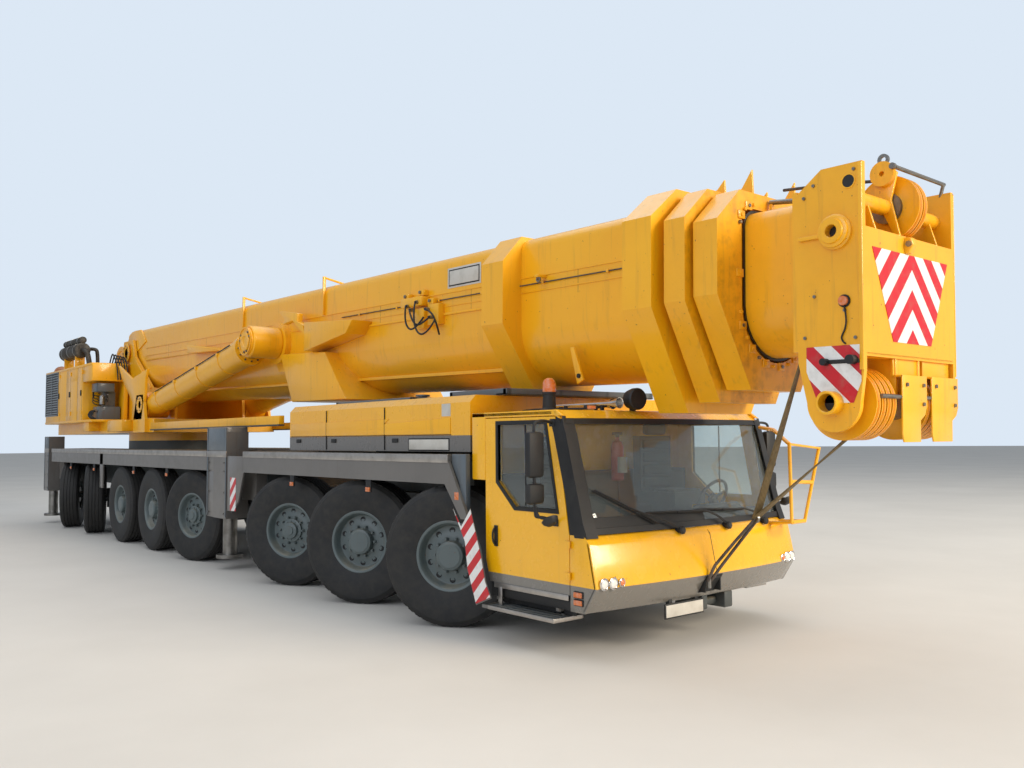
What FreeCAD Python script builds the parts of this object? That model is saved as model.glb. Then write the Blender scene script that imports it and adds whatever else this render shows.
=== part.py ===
"""Eight-axle mobile crane in road trim, with its telescopic boom laid forward over the cab.

+X runs forward, +Y to the crane's left and +Z up, in millimetres. The origin is on the
ground, midway between the tail of the upper carriage and the head of the boom. The
steered wheels stand turned to the left.
"""
import FreeCAD, Part
import math
import os
from FreeCAD import Placement, Rotation, Vector

# Axles: name, place along the crane, steering angle at rest in degrees (None is fixed).
AXLES = [
    ("1", 5800, 33.0),
    ("2", 4100, 31.0),
    ("3", 2400, 28.0),
    ("4", -750, 15.0),
    ("5", -2450, None),
    ("6", -4150, None),
    ("7", -6300, -18.0),
    ("8", -8000, -22.0),
]
SIDES = [("left", 1), ("right", -1)]

# Wheels and axles
TYRE_R = 690
TYRE_W = 375
TYRE_SHOULDER = 60
TREAD_SHARE = 0.8
TYRE_SIDES = 30
BEAD_R = 322
RIM_WALL = 12
RIM_LIP = 6
RIM_SHARE = 0.8
DISC_OUT = 60
DISC_T = 22
DISC_DISH = 50
HUB_R = 130
HUB_L = 110
WHEEL_Y = 1290
KINGPIN_Y = 1000
KINGPIN_H = 300
KINGPIN_R = 75
SPINDLE_R = 70
AXLE_R = 115
DIFF_R = 225
DIFF_HALF_L = 150
STRUT_R = 70
STRUT_Y = 430
FORK_PLATE = 40
RUN_GAP = 0.3

# Chassis
CHASSIS_HALF_W = 600
CHASSIS_LOW = 930
CHASSIS_TOP = 1620
ENGINE_DECK_Z = 1200
CHASSIS_REAR_X = -9760
CHASSIS_STEP_X = 1420
CHASSIS_FRONT_X = 7650
NOSE_LOW = 470
NOSE_HALF_W = 450
NOSE_START_X = 6700
NOSE_SLOPE_X = 5800
NOSE_RISE = 30
ENGINE_BLOCK = (3100, 5200, 420, 800)
SLEW_X = -5225
RING_R = 950
RING_H = 230

# Outriggers: name, side, rear edge of the beam and its width along the crane
OUTRIGGERS = [
    ("front_right", -1, 360, 480),
    ("front_left", 1, 880, 480),
    ("rear_right", -1, -9720, 400),
    ("rear_left", 1, -9290, 400),
]
BEAM_LOW = 1000
BEAM_H = 420
BEAM_LENGTH = 2450
BEAM_GAP = 6
SLEEVE_T = 16
SLEEVE_OUT_Y = 1130
JACK_W = 330
JACK_LOW = 730
JACK_TOP = 1960
JACK_ROD_R = 100
PAD_R = 190
PAD_T = 50
PAD_LOW = 160

# Decks along both sides
DECK_HALF_W = 1500
JACK_OUT_Y = DECK_HALF_W
DECK_TOP = 1680
DECK_T = 60
SKIRT_LOW = 1400
SKIRT_T = 30
FRONT_DECK = (1410, 6200)
REAR_DECK = {1: (-8860, 110), -1: (-9050, 110)}
DECK_LEG_X = 6400
DECK_LEG_LOW = 1080
DECK_LEG_W = 120
DECK_LEG_ROOT = 60

# Engine hood behind the cab
HOOD_X = (2580, 6400)
HOOD_HALF_W = 1380
HOOD_TOP = 2260
HOOD_LOW = 1710
HOOD_SHOULDER = 70
HOOD_WALL = 25

# Driver's cab
CAB_HALF_W = 1400
CAB_REAR_X = 6450
CAB_ARCH_X = 6710
CAB_ARCH_Z = 1450
CAB_LOW = 400
CAB_FLOOR = 780
CAB_ROOF = 2080
CAB_BOW_R = 5500
CAB_NOSE_X = 8150
CAB_WALL = 55
SKIRT_WALL = 40
SCREEN_TOP = (7740, CAB_ROOF - 90)
SCREEN_LOW = (7990, CAB_FLOOR + 250)
SCREEN_SIDE = 90
DOOR_X = (6660, 7780)
DOOR_Z = (CAB_LOW + 130, CAB_ROOF - 60)
DOOR_T = 45
DOOR_GAP = 6
HINGE_R = 14
HINGE_X = DOOR_X[1] + 12
HINGE_Y = CAB_HALF_W + HINGE_R + 2
HINGE_Z = (CAB_LOW + 200, CAB_LOW + 460)
HINGE_H = 60
WINDOW_X = (6850, 7660)
WINDOW_Z = (SCREEN_LOW[1] + 200, CAB_ROOF - 120)
SEAT_X = (6850, 7350)
SEAT_Y = CAB_HALF_W / 2
SEAT_HALF_W = 240
SEAT_Z = CAB_FLOOR + 370
CUSHION_T = 130
SEAT_BACK_H = 570
SEAT_STEP = 50
STEP_Z = CAB_LOW - 70
STEP_T = 30
STEP_X = (DOOR_X[0] + 50, DOOR_X[1] - 100)
STEP_TUCK = 250
HANGER_W = 30
HANGER_Y = CAB_HALF_W - 120

# Boom: the frame's axis passes through the foot pin and droops towards the head.
PIN_X = -6400
PIN_Z = 3680
BOOM_DROOP = 1.16
# Section: half width, top, bottom, start and end of the tube, all from the foot pin's axis
SECTIONS = {
    "base": (600, 480, -1040, -250, 14720),
    "tele_1": (545, 425, -985, 500, 15020),
    "tele_2": (490, 370, -930, 800, 15300),
    "tele_3": (435, 315, -875, 1100, 15980),
}
BOOM_WALL = 14
SHOULDER_R = 130
# Collars: section, start, length, half width, top half width, top, side low, bottom half width, bottom
COLLARS = [
    ("base", 12310, 350, 850, 600, 500, -420, 420, -1080),
    ("base", 14390, 330, 930, 600, 590, -460, 450, -1340),
    ("tele_1", 14800, 220, 860, 560, 540, -430, 400, -1250),
    ("tele_2", 15060, 240, 800, 500, 490, -400, 360, -1150),
]

# Boom head, from the foot pin's axis
HEAD_REAR = 15960
HEAD_FRONT = 16480
HEAD_TOP = 430
HEAD_HALF_W = 700
HEAD_PLATE = 40
LOBE = (16240, -1280)
LOBE_R = 210
UPPER_SHEAVE = (16330, 210)
UPPER_SHEAVE_R = 250
LOWER_SHEAVE_R = 270
HEAD_PIN_R = 60

# Lift cylinders beside the boom
CYL_Y = 940
CYL_FOOT = (-3880, 2510)
CYL_EYE = (740, 3280)
BARREL_R = 220
ROD_R = 150
EYE_R = 280
EYE_CAP_R = 340
CYL_PIN_R = 100

# Upper carriage
FLOOR_Z = (2000, 2240)
FLOOR_X = (-10000, -3300)
FLOOR_HALF_W = 1150
CHEEK_Y = (630, 680)
HOUSE_REAR_X = -10080
HOUSE_FRONT_RIGHT_X = -6250
HOUSE_FRONT_LEFT_X = -6850
HOUSE_HALF_W = 1420
HOUSE_TOP = 3450
HOUSE_CORE_X = -7350
DRUM = (-7810, 3560)
DRUM_R = 260
DRUM_FLANGE_R = 400
DRUM_HALF_W = 420
SILENCER = (-9350, 3980)
SILENCER_R = 130
SILENCER_Y = (-900, -250)

# Crane cab on the left of the upper carriage
CC_X = (-6180, -4360)
CC_Y = (800, 1440)
CC_Z = (2260, 3760)
CC_WALL = 40
CC_DOORWAY_X = (CC_X[0] + 450, CC_X[0] + 1150)
CC_DOORWAY_Z = (CC_Z[0] + 120, CC_Z[1] - 100)
CC_DOOR_LAP = 30
CC_DOOR_RIM = 50
CC_DOOR_PANEL = 480
TILT_PIN = (CC_X[0] - 60, CC_Z[0] + 40)
TILT_PIN_R = 25
TILT_PIN_Y = (850, 1130)
EAR_T = 35
CC_DOOR_T = 35
CC_DOOR_Y = CC_Y[1] + 12


def box(x0, x1, y0, y1, z0, z1):
    """Block between two corners."""
    return Part.makeBox(x1 - x0, y1 - y0, z1 - z0, Vector(x0, y0, z0))


def polygon(points):
    """Flat face through a closed ring of points."""
    ring = [Vector(*p) for p in points]
    return Part.Face(Part.makePolygon(ring + [ring[0]]))


def side_plate(points, y0, y1):
    """Plate whose outline is given as (x, z), between two places across the crane."""
    return polygon([(x, y0, z) for x, z in points]).extrude(Vector(0, y1 - y0, 0))


def cross_plate(points, x0, x1):
    """Plate whose outline is given as (y, z), between two places along the crane."""
    return polygon([(x0, y, z) for y, z in points]).extrude(Vector(x1 - x0, 0, 0))


def disc_y(x, z, y0, y1, r):
    """Round bar across the crane."""
    return Part.makeCylinder(r, y1 - y0, Vector(x, y0, z), Vector(0, 1, 0))


def bar(p, q, r):
    """Round bar from one point to another."""
    a = Vector(*p)
    b = Vector(*q)
    return Part.makeCylinder(r, (b - a).Length, a, b - a)


def fused(solids):
    """One solid from pieces that touch."""
    if len(solids) == 1:
        return solids[0]
    return solids[0].multiFuse(solids[1:]).removeSplitter()


def mirrored(shape):
    """The same piece on the other side of the crane."""
    return shape.mirror(Vector(0, 0, 0), Vector(0, 1, 0))


def both(shape):
    """A piece and its mirror image."""
    return [shape, mirrored(shape)]


def to_side(shape, side):
    """A piece drawn on the left, put on the side asked for."""
    return shape if side > 0 else mirrored(shape)


def on_boom(shape):
    """A piece drawn from the foot pin's axis, put in the drooped boom's place."""
    placed = shape.copy()
    placed.Placement = Placement(
        Vector(PIN_X, 0, PIN_Z), Rotation(Vector(0, 1, 0), BOOM_DROOP))
    return placed


def from_boom(x, z):
    """Place of a point of the crane, along and above the boom's own axis."""
    turn = math.radians(BOOM_DROOP)
    dx = x - PIN_X
    dz = z - PIN_Z
    return dx * math.cos(turn) - dz * math.sin(turn), dx * math.sin(turn) + dz * math.cos(turn)


def faceted_ring(outline, sides):
    """Ring about the Y axis with flat facets, from an outline of (distance of the facet, y)."""
    reach = 1 / math.cos(math.pi / sides)
    faces = []
    for i in range(sides):
        turns = [2 * math.pi * (i + k - 0.5) / sides for k in (0, 1)]
        rings = [
            [Vector(r * reach * math.sin(t), y, -r * reach * math.cos(t)) for r, y in outline]
            for t in turns
        ]
        for k in range(len(outline)):
            m = (k + 1) % len(outline)
            corners = [rings[0][k], rings[0][m], rings[1][m], rings[1][k], rings[0][k]]
            faces.append(Part.Face(Part.makePolygon(corners)))
    return Part.Solid(Part.Shell(faces))


def tyre():
    """Tyre about the Y axis, centred on the origin, with a facet for each pitch of its tread."""
    half = TYRE_W / 2
    outline = [
        (BEAD_R, -half * RIM_SHARE),
        (TYRE_R - TYRE_SHOULDER, -half),
        (TYRE_R, -half * TREAD_SHARE),
        (TYRE_R, half * TREAD_SHARE),
        (TYRE_R - TYRE_SHOULDER, half),
        (BEAD_R, half * RIM_SHARE),
    ]
    return faceted_ring(outline, TYRE_SIDES)


def rim():
    """Disc wheel about the Y axis, with its dished side towards +Y."""
    half = TYRE_W / 2 * RIM_SHARE
    seat = BEAD_R - RUN_GAP
    well = seat - RIM_WALL
    outline = [
        (seat, -half),
        (seat, half),
        (well, half),
        (well - RIM_LIP, DISC_OUT + DISC_T + DISC_DISH / 2),
        (HUB_R, DISC_OUT + DISC_T),
        (HUB_R, DISC_OUT + HUB_L),
        (0, DISC_OUT + HUB_L),
        (0, DISC_OUT),
        (HUB_R, DISC_OUT),
        (well, DISC_OUT + DISC_DISH / 2),
        (well, -half),
    ]
    face = polygon([(r, y, 0) for r, y in outline])
    return face.revolve(Vector(0, 0, 0), Vector(0, 1, 0), 360)


def knuckle():
    """Steering knuckle on the left, drawn straight ahead with its kingpin on the Z axis."""
    reach = WHEEL_Y - KINGPIN_Y + DISC_OUT - RUN_GAP
    return fused([
        Part.makeCylinder(KINGPIN_R, KINGPIN_H, Vector(0, 0, -KINGPIN_H / 2)),
        bar((0, 0, 0), (0, reach, 0), SPINDLE_R),
        bar((0, 150, 0), (0, 290, 0), SPINDLE_R + 95),
        box(-330, -20, -40, 20, 90, 130),
    ])


def steered(shape, x, side, angle):
    """A piece drawn from a kingpin, turned with its wheel."""
    piece = to_side(shape, side)
    piece.Placement = Placement(
        Vector(x, side * KINGPIN_Y, TYRE_R), Rotation(Vector(0, 0, 1), angle)).multiply(piece.Placement)
    return piece


def wheel(x, side, angle):
    """Tyre and disc wheel at their place on the crane."""
    turn = 0 if angle is None else angle
    solids = []
    for piece in (tyre(), rim()):
        piece.translate(Vector(0, WHEEL_Y - KINGPIN_Y, 0))
        solids.append(steered(piece, x, side, turn))
    return solids


def axle(x, angle):
    """Axle beam with its differential and struts up to the chassis."""
    fork = KINGPIN_H / 2 + RUN_GAP
    beam_end = KINGPIN_Y - KINGPIN_H / 2 + 20
    pieces = [
        box(x - AXLE_R, x + AXLE_R, -beam_end, beam_end, TYRE_R - AXLE_R, TYRE_R + AXLE_R),
        bar((x - DIFF_HALF_L, 0, TYRE_R), (x + DIFF_HALF_L, 0, TYRE_R), DIFF_R),
        Part.makeCone(DIFF_R, DIFF_R / 2, DIFF_HALF_L, Vector(x + DIFF_HALF_L, 0, TYRE_R), Vector(1, 0, 0)),
    ]
    for side in (1, -1):
        pieces.append(bar((x, side * STRUT_Y, TYRE_R), (x, side * STRUT_Y, CHASSIS_LOW), STRUT_R))
        if angle is None:
            end = WHEEL_Y + DISC_OUT - RUN_GAP
            pieces.append(bar((x, 0, TYRE_R), (x, side * end, TYRE_R), SPINDLE_R))
            continue
        half = KINGPIN_R - 15
        inner = KINGPIN_Y - 2 * KINGPIN_R - 20
        outer = KINGPIN_Y + half
        reach = fork + FORK_PLATE
        y0, y1 = sorted((side * inner, side * outer))
        pieces.append(box(x - half, x + half, y0, y1, TYRE_R + fork, TYRE_R + reach))
        pieces.append(box(x - half, x + half, y0, y1, TYRE_R - reach, TYRE_R - fork))
        y0, y1 = sorted((side * inner, side * (inner + 70)))
        pieces.append(box(x - half, x + half, y0, y1, TYRE_R - reach, TYRE_R + reach))
    return fused(pieces)


def driveline():
    """Eight axles and the engine's block."""
    x0, x1, half, height = ENGINE_BLOCK
    solids = [axle(x, angle) for _, x, angle in AXLES]
    solids.append(box(x0, x1, -half, half, ENGINE_DECK_Z, ENGINE_DECK_Z + height))
    return solids


def beam_slot(x0, width, wall):
    """Space of an outrigger beam across the chassis, grown by its sleeve's wall."""
    side = BEAM_GAP + wall
    return box(x0 - side, x0 + width + side, -SLEEVE_OUT_Y, SLEEVE_OUT_Y,
               BEAM_LOW - RUN_GAP - wall, BEAM_LOW + BEAM_H + side)


def chassis_frame():
    """Chassis with its slewing ring seat and the sleeves of the outrigger beams."""
    outline = [
        (CHASSIS_REAR_X, CHASSIS_LOW),
        (CHASSIS_REAR_X, CHASSIS_TOP),
        (CHASSIS_STEP_X, CHASSIS_TOP),
        (CHASSIS_STEP_X + 350, ENGINE_DECK_Z),
        (NOSE_SLOPE_X, ENGINE_DECK_Z),
        (NOSE_START_X - 300, CHASSIS_LOW + NOSE_RISE),
        (NOSE_START_X - 300, CHASSIS_LOW),
    ]
    frame = side_plate(outline, -CHASSIS_HALF_W, CHASSIS_HALF_W)
    nose = side_plate([
        (NOSE_START_X - 400, CHASSIS_LOW + NOSE_RISE),
        (NOSE_START_X - 300, CHASSIS_LOW + NOSE_RISE),
        (NOSE_START_X - 60, CAB_FLOOR),
        (CHASSIS_FRONT_X, CAB_FLOOR),
        (CHASSIS_FRONT_X, NOSE_LOW),
        (NOSE_START_X, NOSE_LOW),
        (NOSE_START_X - 400, CHASSIS_LOW),
    ], -NOSE_HALF_W, NOSE_HALF_W)
    ring = Part.makeCylinder(RING_R, RING_H, Vector(SLEW_X, 0, CHASSIS_TOP))
    pieces = [frame, nose, ring]
    for _, _, x0, width in OUTRIGGERS:
        pieces.append(beam_slot(x0, width, SLEEVE_T))
    frame = fused(pieces)
    for _, _, x0, width in OUTRIGGERS:
        frame = frame.cut(beam_slot(x0, width, 0))
    return [frame]


def outrigger_beam(side, x0, width):
    """Sliding beam with the jack's tube at its outer end."""
    tube = fused([
        box(x0, x0 + width, JACK_OUT_Y - JACK_W - BEAM_LENGTH, JACK_OUT_Y - JACK_W,
            BEAM_LOW, BEAM_LOW + BEAM_H),
        box(x0 + 10, x0 + width - 10, JACK_OUT_Y - JACK_W, JACK_OUT_Y, JACK_LOW, JACK_TOP),
    ])
    bore = Part.makeCylinder(JACK_ROD_R + RUN_GAP, JACK_TOP - JACK_LOW - 60,
                             Vector(x0 + width / 2, JACK_OUT_Y - JACK_W / 2, JACK_LOW))
    return to_side(tube.cut(bore), side)


def outrigger_jack(side, x0, width):
    """Jack rod with its round foot."""
    x = x0 + width / 2
    y = JACK_OUT_Y - JACK_W / 2
    rod = Part.makeCylinder(JACK_ROD_R, JACK_TOP - PAD_LOW - 120, Vector(x, y, PAD_LOW))
    foot = Part.makeCylinder(PAD_R, PAD_T, Vector(x, y, PAD_LOW))
    return to_side(fused([rod, foot]), side)


def deck(x0, x1):
    """Walkway on the left with its skirt."""
    top = box(x0, x1, CHASSIS_HALF_W, DECK_HALF_W, DECK_TOP - DECK_T, DECK_TOP)
    skirt = box(x0, x1, DECK_HALF_W - SKIRT_T, DECK_HALF_W, SKIRT_LOW, DECK_TOP)
    return fused([top, skirt])


def decks():
    """Walkways on both sides, with the front leg that slants down behind the cab."""
    front = deck(*FRONT_DECK)
    leg = side_plate([
        (FRONT_DECK[1] - DECK_LEG_ROOT, SKIRT_LOW),
        (FRONT_DECK[1] - DECK_LEG_ROOT, DECK_TOP - DECK_T),
        (FRONT_DECK[1], DECK_TOP - DECK_T),
        (DECK_LEG_X + DECK_LEG_W, DECK_LEG_LOW),
        (DECK_LEG_X, DECK_LEG_LOW),
    ], DECK_HALF_W - SKIRT_T, DECK_HALF_W)
    front = fused([front, leg])
    ring = Part.makeCylinder(RING_R + RUN_GAP, DECK_TOP, Vector(SLEW_X, 0, 0))
    rears = [to_side(deck(*REAR_DECK[side]), side).cut(ring) for _, side in SIDES]
    return both(front) + rears


def engine_hood():
    """Hood over the engine, open below, with creased shoulders."""
    def outline(inset):
        half = HOOD_HALF_W - inset
        top = HOOD_TOP - inset
        return [
            (-half, HOOD_LOW - (10 if inset else 0)),
            (-half, top - HOOD_SHOULDER),
            (-half + HOOD_SHOULDER, top),
            (half - HOOD_SHOULDER, top),
            (half, top - HOOD_SHOULDER),
            (half, HOOD_LOW - (10 if inset else 0)),
        ]
    x0, x1 = HOOD_X
    hood = cross_plate(outline(0), x0, x1)
    hollow = cross_plate(outline(HOOD_WALL), x0 + HOOD_WALL, x1 - HOOD_WALL)
    return [hood.cut(hollow)]


def cab_outline(inset):
    """Side view of the cab, as (x, z), drawn in by a wall's thickness."""
    top_x, top_z = SCREEN_TOP
    low_x, low_z = SCREEN_LOW
    return [
        (CAB_REAR_X - 400, CAB_LOW + inset),
        (CAB_NOSE_X - 140 - inset, CAB_LOW + inset),
        (CAB_NOSE_X - inset, CAB_LOW + 220),
        (low_x + 60 - inset, low_z - 60),
        (low_x - inset, low_z),
        (top_x - inset, top_z),
        (top_x - 120 - inset, CAB_ROOF - inset),
        (CAB_REAR_X - 400, CAB_ROOF - inset),
    ]


def cab_body(inset):
    """Closed form of the cab, bowed at the front and stepped over the wheel."""
    centre_x = CAB_NOSE_X - CAB_BOW_R
    face = polygon([(x - centre_x, 0, z) for x, z in cab_outline(inset)])
    swept = face.copy()
    swept.rotate(Vector(0, 0, 0), Vector(0, 0, 1), -25)
    bowed = swept.revolve(Vector(0, 0, 0), Vector(0, 0, 1), 50)
    bowed.translate(Vector(centre_x, 0, 0))
    half = CAB_HALF_W - inset
    limits = fused([
        box(CAB_REAR_X + inset, CAB_NOSE_X + 100, -half, half, CAB_ARCH_Z + inset, CAB_ROOF + 100),
        box(CAB_ARCH_X + inset, CAB_NOSE_X + 100, -half, half, CAB_LOW - 100, CAB_ARCH_Z + inset),
    ])
    return bowed.common(limits)


def door_outline(gap):
    """Side view of the door opening, as (x, z)."""
    x0, x1 = DOOR_X
    z0, z1 = DOOR_Z
    top_x = SCREEN_TOP[0] - 120
    return [
        (x0 - gap + 60, z0 - gap),
        (x1 + gap, z0 - gap),
        (x1 + gap, SCREEN_LOW[1]),
        (top_x + gap, z1 + gap),
        (x0 - gap, z1 + gap),
        (x0 - gap, z0 + 200),
    ]


def window_outline():
    """Side view of the door's window, as (x, z)."""
    x0, x1 = WINDOW_X
    z0, z1 = WINDOW_Z
    return [
        (x0 + 250, z0),
        (x1 - 30, z0),
        (x1 - 170, z1),
        (x0, z1),
        (x0, z0 + 220),
    ]


def hinge_barrels(x, y, levels, height, strap):
    """Upright hinge barrels with the straps that carry them, reaching along X by strap."""
    pieces = []
    for z in levels:
        pieces.append(fused([
            Part.makeCylinder(HINGE_R, height, Vector(x, y, z)),
            box(min(x, x + strap), max(x, x + strap), CAB_HALF_W, y, z, z + height),
        ]))
    return pieces


def cab_shell():
    """Walls, floor and roof of the cab, with its door openings and screen cut."""
    above = box(CAB_REAR_X, CAB_NOSE_X, -CAB_HALF_W, CAB_HALF_W, CAB_FLOOR + CAB_WALL, CAB_ROOF)
    below = box(CAB_REAR_X, CAB_NOSE_X, -CAB_HALF_W, CAB_HALF_W, 0, CAB_FLOOR)
    shell = cab_body(0).cut(cab_body(CAB_WALL).common(above))
    shell = shell.cut(cab_body(SKIRT_WALL).common(below))
    shell = shell.cut(box(CAB_ARCH_X - 50, CAB_ARCH_X + 200, -NOSE_HALF_W - 10, NOSE_HALF_W + 10,
                          0, CAB_FLOOR))
    shell = shell.cut(box(CAB_ARCH_X - 50, CAB_NOSE_X - 200, -CAB_HALF_W + SKIRT_WALL,
                          CAB_HALF_W - SKIRT_WALL, CAB_LOW - 10, CAB_LOW + SKIRT_WALL + 10))
    opening = side_plate(door_outline(DOOR_GAP), 0, CAB_HALF_W + 50)
    for piece in both(opening):
        shell = shell.cut(piece)
    for barrel in hinge_barrels(HINGE_X, HINGE_Y, HINGE_Z, HINGE_H, 60):
        for piece in both(barrel):
            shell = shell.fuse(piece)
    top_x, top_z = SCREEN_TOP
    low_x, low_z = SCREEN_LOW
    screen = side_plate([
        (low_x - 300, low_z + 20),
        (low_x + 300, low_z + 20),
        (top_x + 300, top_z - 20),
        (top_x - 300, top_z - 20),
    ], -CAB_HALF_W + SCREEN_SIDE, CAB_HALF_W - SCREEN_SIDE)
    return [shell.cut(screen)]


def cab_glass():
    """Windscreen, set in its opening."""
    top_x, top_z = SCREEN_TOP
    low_x, low_z = SCREEN_LOW
    pane = cab_body(15).cut(cab_body(22))
    opening = side_plate([
        (low_x - 300, low_z + 20 + RUN_GAP),
        (low_x + 300, low_z + 20 + RUN_GAP),
        (top_x + 300, top_z - 20 - RUN_GAP),
        (top_x - 300, top_z - 20 - RUN_GAP),
    ], -CAB_HALF_W + SCREEN_SIDE + RUN_GAP, CAB_HALF_W - SCREEN_SIDE - RUN_GAP)
    pane = pane.common(opening)
    front = box(SCREEN_TOP[0] - 240, CAB_NOSE_X, -CAB_HALF_W, CAB_HALF_W, 0, CAB_ROOF)
    return pane.common(front).Solids


def cab_door():
    """Left door, with its window cut."""
    slab = side_plate(door_outline(0), CAB_HALF_W - DOOR_T, CAB_HALF_W)
    window = side_plate(window_outline(), 0, CAB_HALF_W + 50)
    levels = [z + HINGE_H + RUN_GAP for z in HINGE_Z]
    return fused([slab.cut(window)] + hinge_barrels(HINGE_X, HINGE_Y, levels, HINGE_H, -60))


def cab_fittings():
    """Steps below the doors, with their hangers."""
    low = STEP_Z - STEP_T
    step = box(STEP_X[0], STEP_X[1], CAB_HALF_W - STEP_TUCK, DECK_HALF_W - 10, low, STEP_Z)
    hangers = [
        box(x, x + HANGER_W, HANGER_Y, HANGER_Y + HANGER_W, STEP_Z, CAB_LOW)
        for x in (STEP_X[0] + 70, STEP_X[1] - 100)
    ]
    return both(fused([step] + hangers))


def cab_interior():
    """Two seats and the dash."""
    solids = []
    rear, front = SEAT_X
    top = SEAT_Z + CUSHION_T
    for y in (-SEAT_Y, SEAT_Y):
        left = y - SEAT_HALF_W
        right = y + SEAT_HALF_W
        solids.append(fused([
            box(rear, front, left, right, SEAT_Z, top),
            box(rear - SEAT_STEP, rear + SEAT_STEP, left, right, top - SEAT_STEP, top + SEAT_BACK_H),
            box(rear + 100, front - 100, left + 90, right - 90, CAB_FLOOR + CAB_WALL, SEAT_Z),
        ]))
    return solids


def upper_floor():
    """Platform of the upper carriage with the cheeks that hold the boom and the cylinders."""
    x0, x1 = FLOOR_X
    floor = box(x0, x1, -FLOOR_HALF_W, FLOOR_HALF_W, *FLOOR_Z)
    seat = Part.makeCylinder(RING_R, FLOOR_Z[0] - CHASSIS_TOP - RING_H, Vector(SLEW_X, 0, CHASSIS_TOP + RING_H))
    foot_x, foot_z = CYL_FOOT
    cheek = side_plate([
        (PIN_X - 900, FLOOR_Z[1]),
        (PIN_X - 380, PIN_Z - 100),
        (PIN_X - 300, PIN_Z + 260),
        (PIN_X + 300, PIN_Z + 260),
        (PIN_X + 450, PIN_Z - 100),
        (PIN_X + 1500, 2900),
        (foot_x + 250, foot_z + 260),
        (foot_x + 300, FLOOR_Z[1]),
    ], *CHEEK_Y)
    outer = side_plate([
        (foot_x - 350, FLOOR_Z[1]),
        (foot_x - 180, foot_z + 180),
        (foot_x + 180, foot_z + 180),
        (foot_x + 300, FLOOR_Z[1]),
    ], CYL_Y + BARREL_R + 15, CYL_Y + BARREL_R + 65)
    sill = box(foot_x - 350, foot_x + 300, FLOOR_HALF_W - 20, CYL_Y + BARREL_R + 65, *FLOOR_Z)
    pin = disc_y(foot_x, foot_z, CHEEK_Y[0], CYL_Y + BARREL_R + 65, CYL_PIN_R)
    boom_pin = disc_y(PIN_X, PIN_Z, -CHEEK_Y[1] - 40, CHEEK_Y[1] + 40, CYL_PIN_R + 20)
    tilt_x, tilt_z = TILT_PIN
    near, far = TILT_PIN_Y
    tilt_pin = disc_y(tilt_x, tilt_z, near, far, TILT_PIN_R)
    post = box(tilt_x - TILT_PIN_R, tilt_x + TILT_PIN_R, near + EAR_T + 5, far - EAR_T - 5,
               FLOOR_Z[1], tilt_z)
    pieces = [floor, seat, boom_pin, tilt_pin, post]
    for piece in (cheek, outer, sill, pin):
        pieces += both(piece)
    return [fused(pieces)]


def upper_housing():
    """Engine housing at the tail, with silencers on top."""
    wing = CHEEK_Y[1] + 40
    body = fused([
        box(HOUSE_REAR_X, HOUSE_CORE_X, -HOUSE_HALF_W, HOUSE_HALF_W, FLOOR_Z[1], HOUSE_TOP),
        box(HOUSE_CORE_X - 50, HOUSE_FRONT_RIGHT_X, -HOUSE_HALF_W, -wing, FLOOR_Z[1], HOUSE_TOP),
        box(HOUSE_CORE_X - 50, HOUSE_FRONT_LEFT_X, wing, HOUSE_HALF_W, FLOOR_Z[1], HOUSE_TOP),
    ])
    x, z = DRUM
    well = box(x - DRUM_FLANGE_R - 30, HOUSE_CORE_X + 10, -DRUM_HALF_W - 60, DRUM_HALF_W + 60,
               z - DRUM_FLANGE_R - 30, HOUSE_TOP + 10)
    body = body.cut(well)
    brackets = []
    for y0 in (DRUM_HALF_W + 20, -DRUM_HALF_W - 60):
        brackets.append(side_plate([
            (x - 300, HOUSE_TOP - 500), (x - 120, z + 150), (x + 120, z + 150), (x + 300, HOUSE_TOP - 500),
        ], y0, y0 + 40))
    bores = disc_y(x, z, -DRUM_HALF_W - 100, DRUM_HALF_W + 100, 60 + RUN_GAP)
    sx, sz = SILENCER
    y0, y1 = SILENCER_Y
    silencers = []
    for level in (0, 2 * SILENCER_R + 10):
        silencers.append(disc_y(sx, sz - level, y0, y1, SILENCER_R))
    middle = (y0 + y1) / 2
    stand = box(sx - 40, sx + 40, middle - 100, middle + 100, HOUSE_TOP, sz)
    return [fused([body] + brackets).cut(bores), fused([stand.cut(silencers[0]).cut(silencers[1])] + silencers)]


def hoist_drum():
    """Rope drum with its flanges and shaft."""
    x, z = DRUM
    return [fused([
        disc_y(x, z, -DRUM_HALF_W, DRUM_HALF_W, DRUM_R),
        disc_y(x, z, -DRUM_HALF_W, -DRUM_HALF_W + 30, DRUM_FLANGE_R),
        disc_y(x, z, DRUM_HALF_W - 30, DRUM_HALF_W, DRUM_FLANGE_R),
        disc_y(x, z, -DRUM_HALF_W - 60, DRUM_HALF_W + 60, 60),
    ])]


def crane_cab_outline(inset):
    """Side view of the crane cab, as (x, z)."""
    x0, x1 = CC_X
    z0, z1 = CC_Z
    return [
        (x0 + inset, z0 + inset),
        (x1 - 250 - inset, z0 + inset),
        (x1 - inset, z0 + 450),
        (x1 - 180 - inset, z1 - inset),
        (x0 + inset, z1 - inset),
    ]


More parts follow.
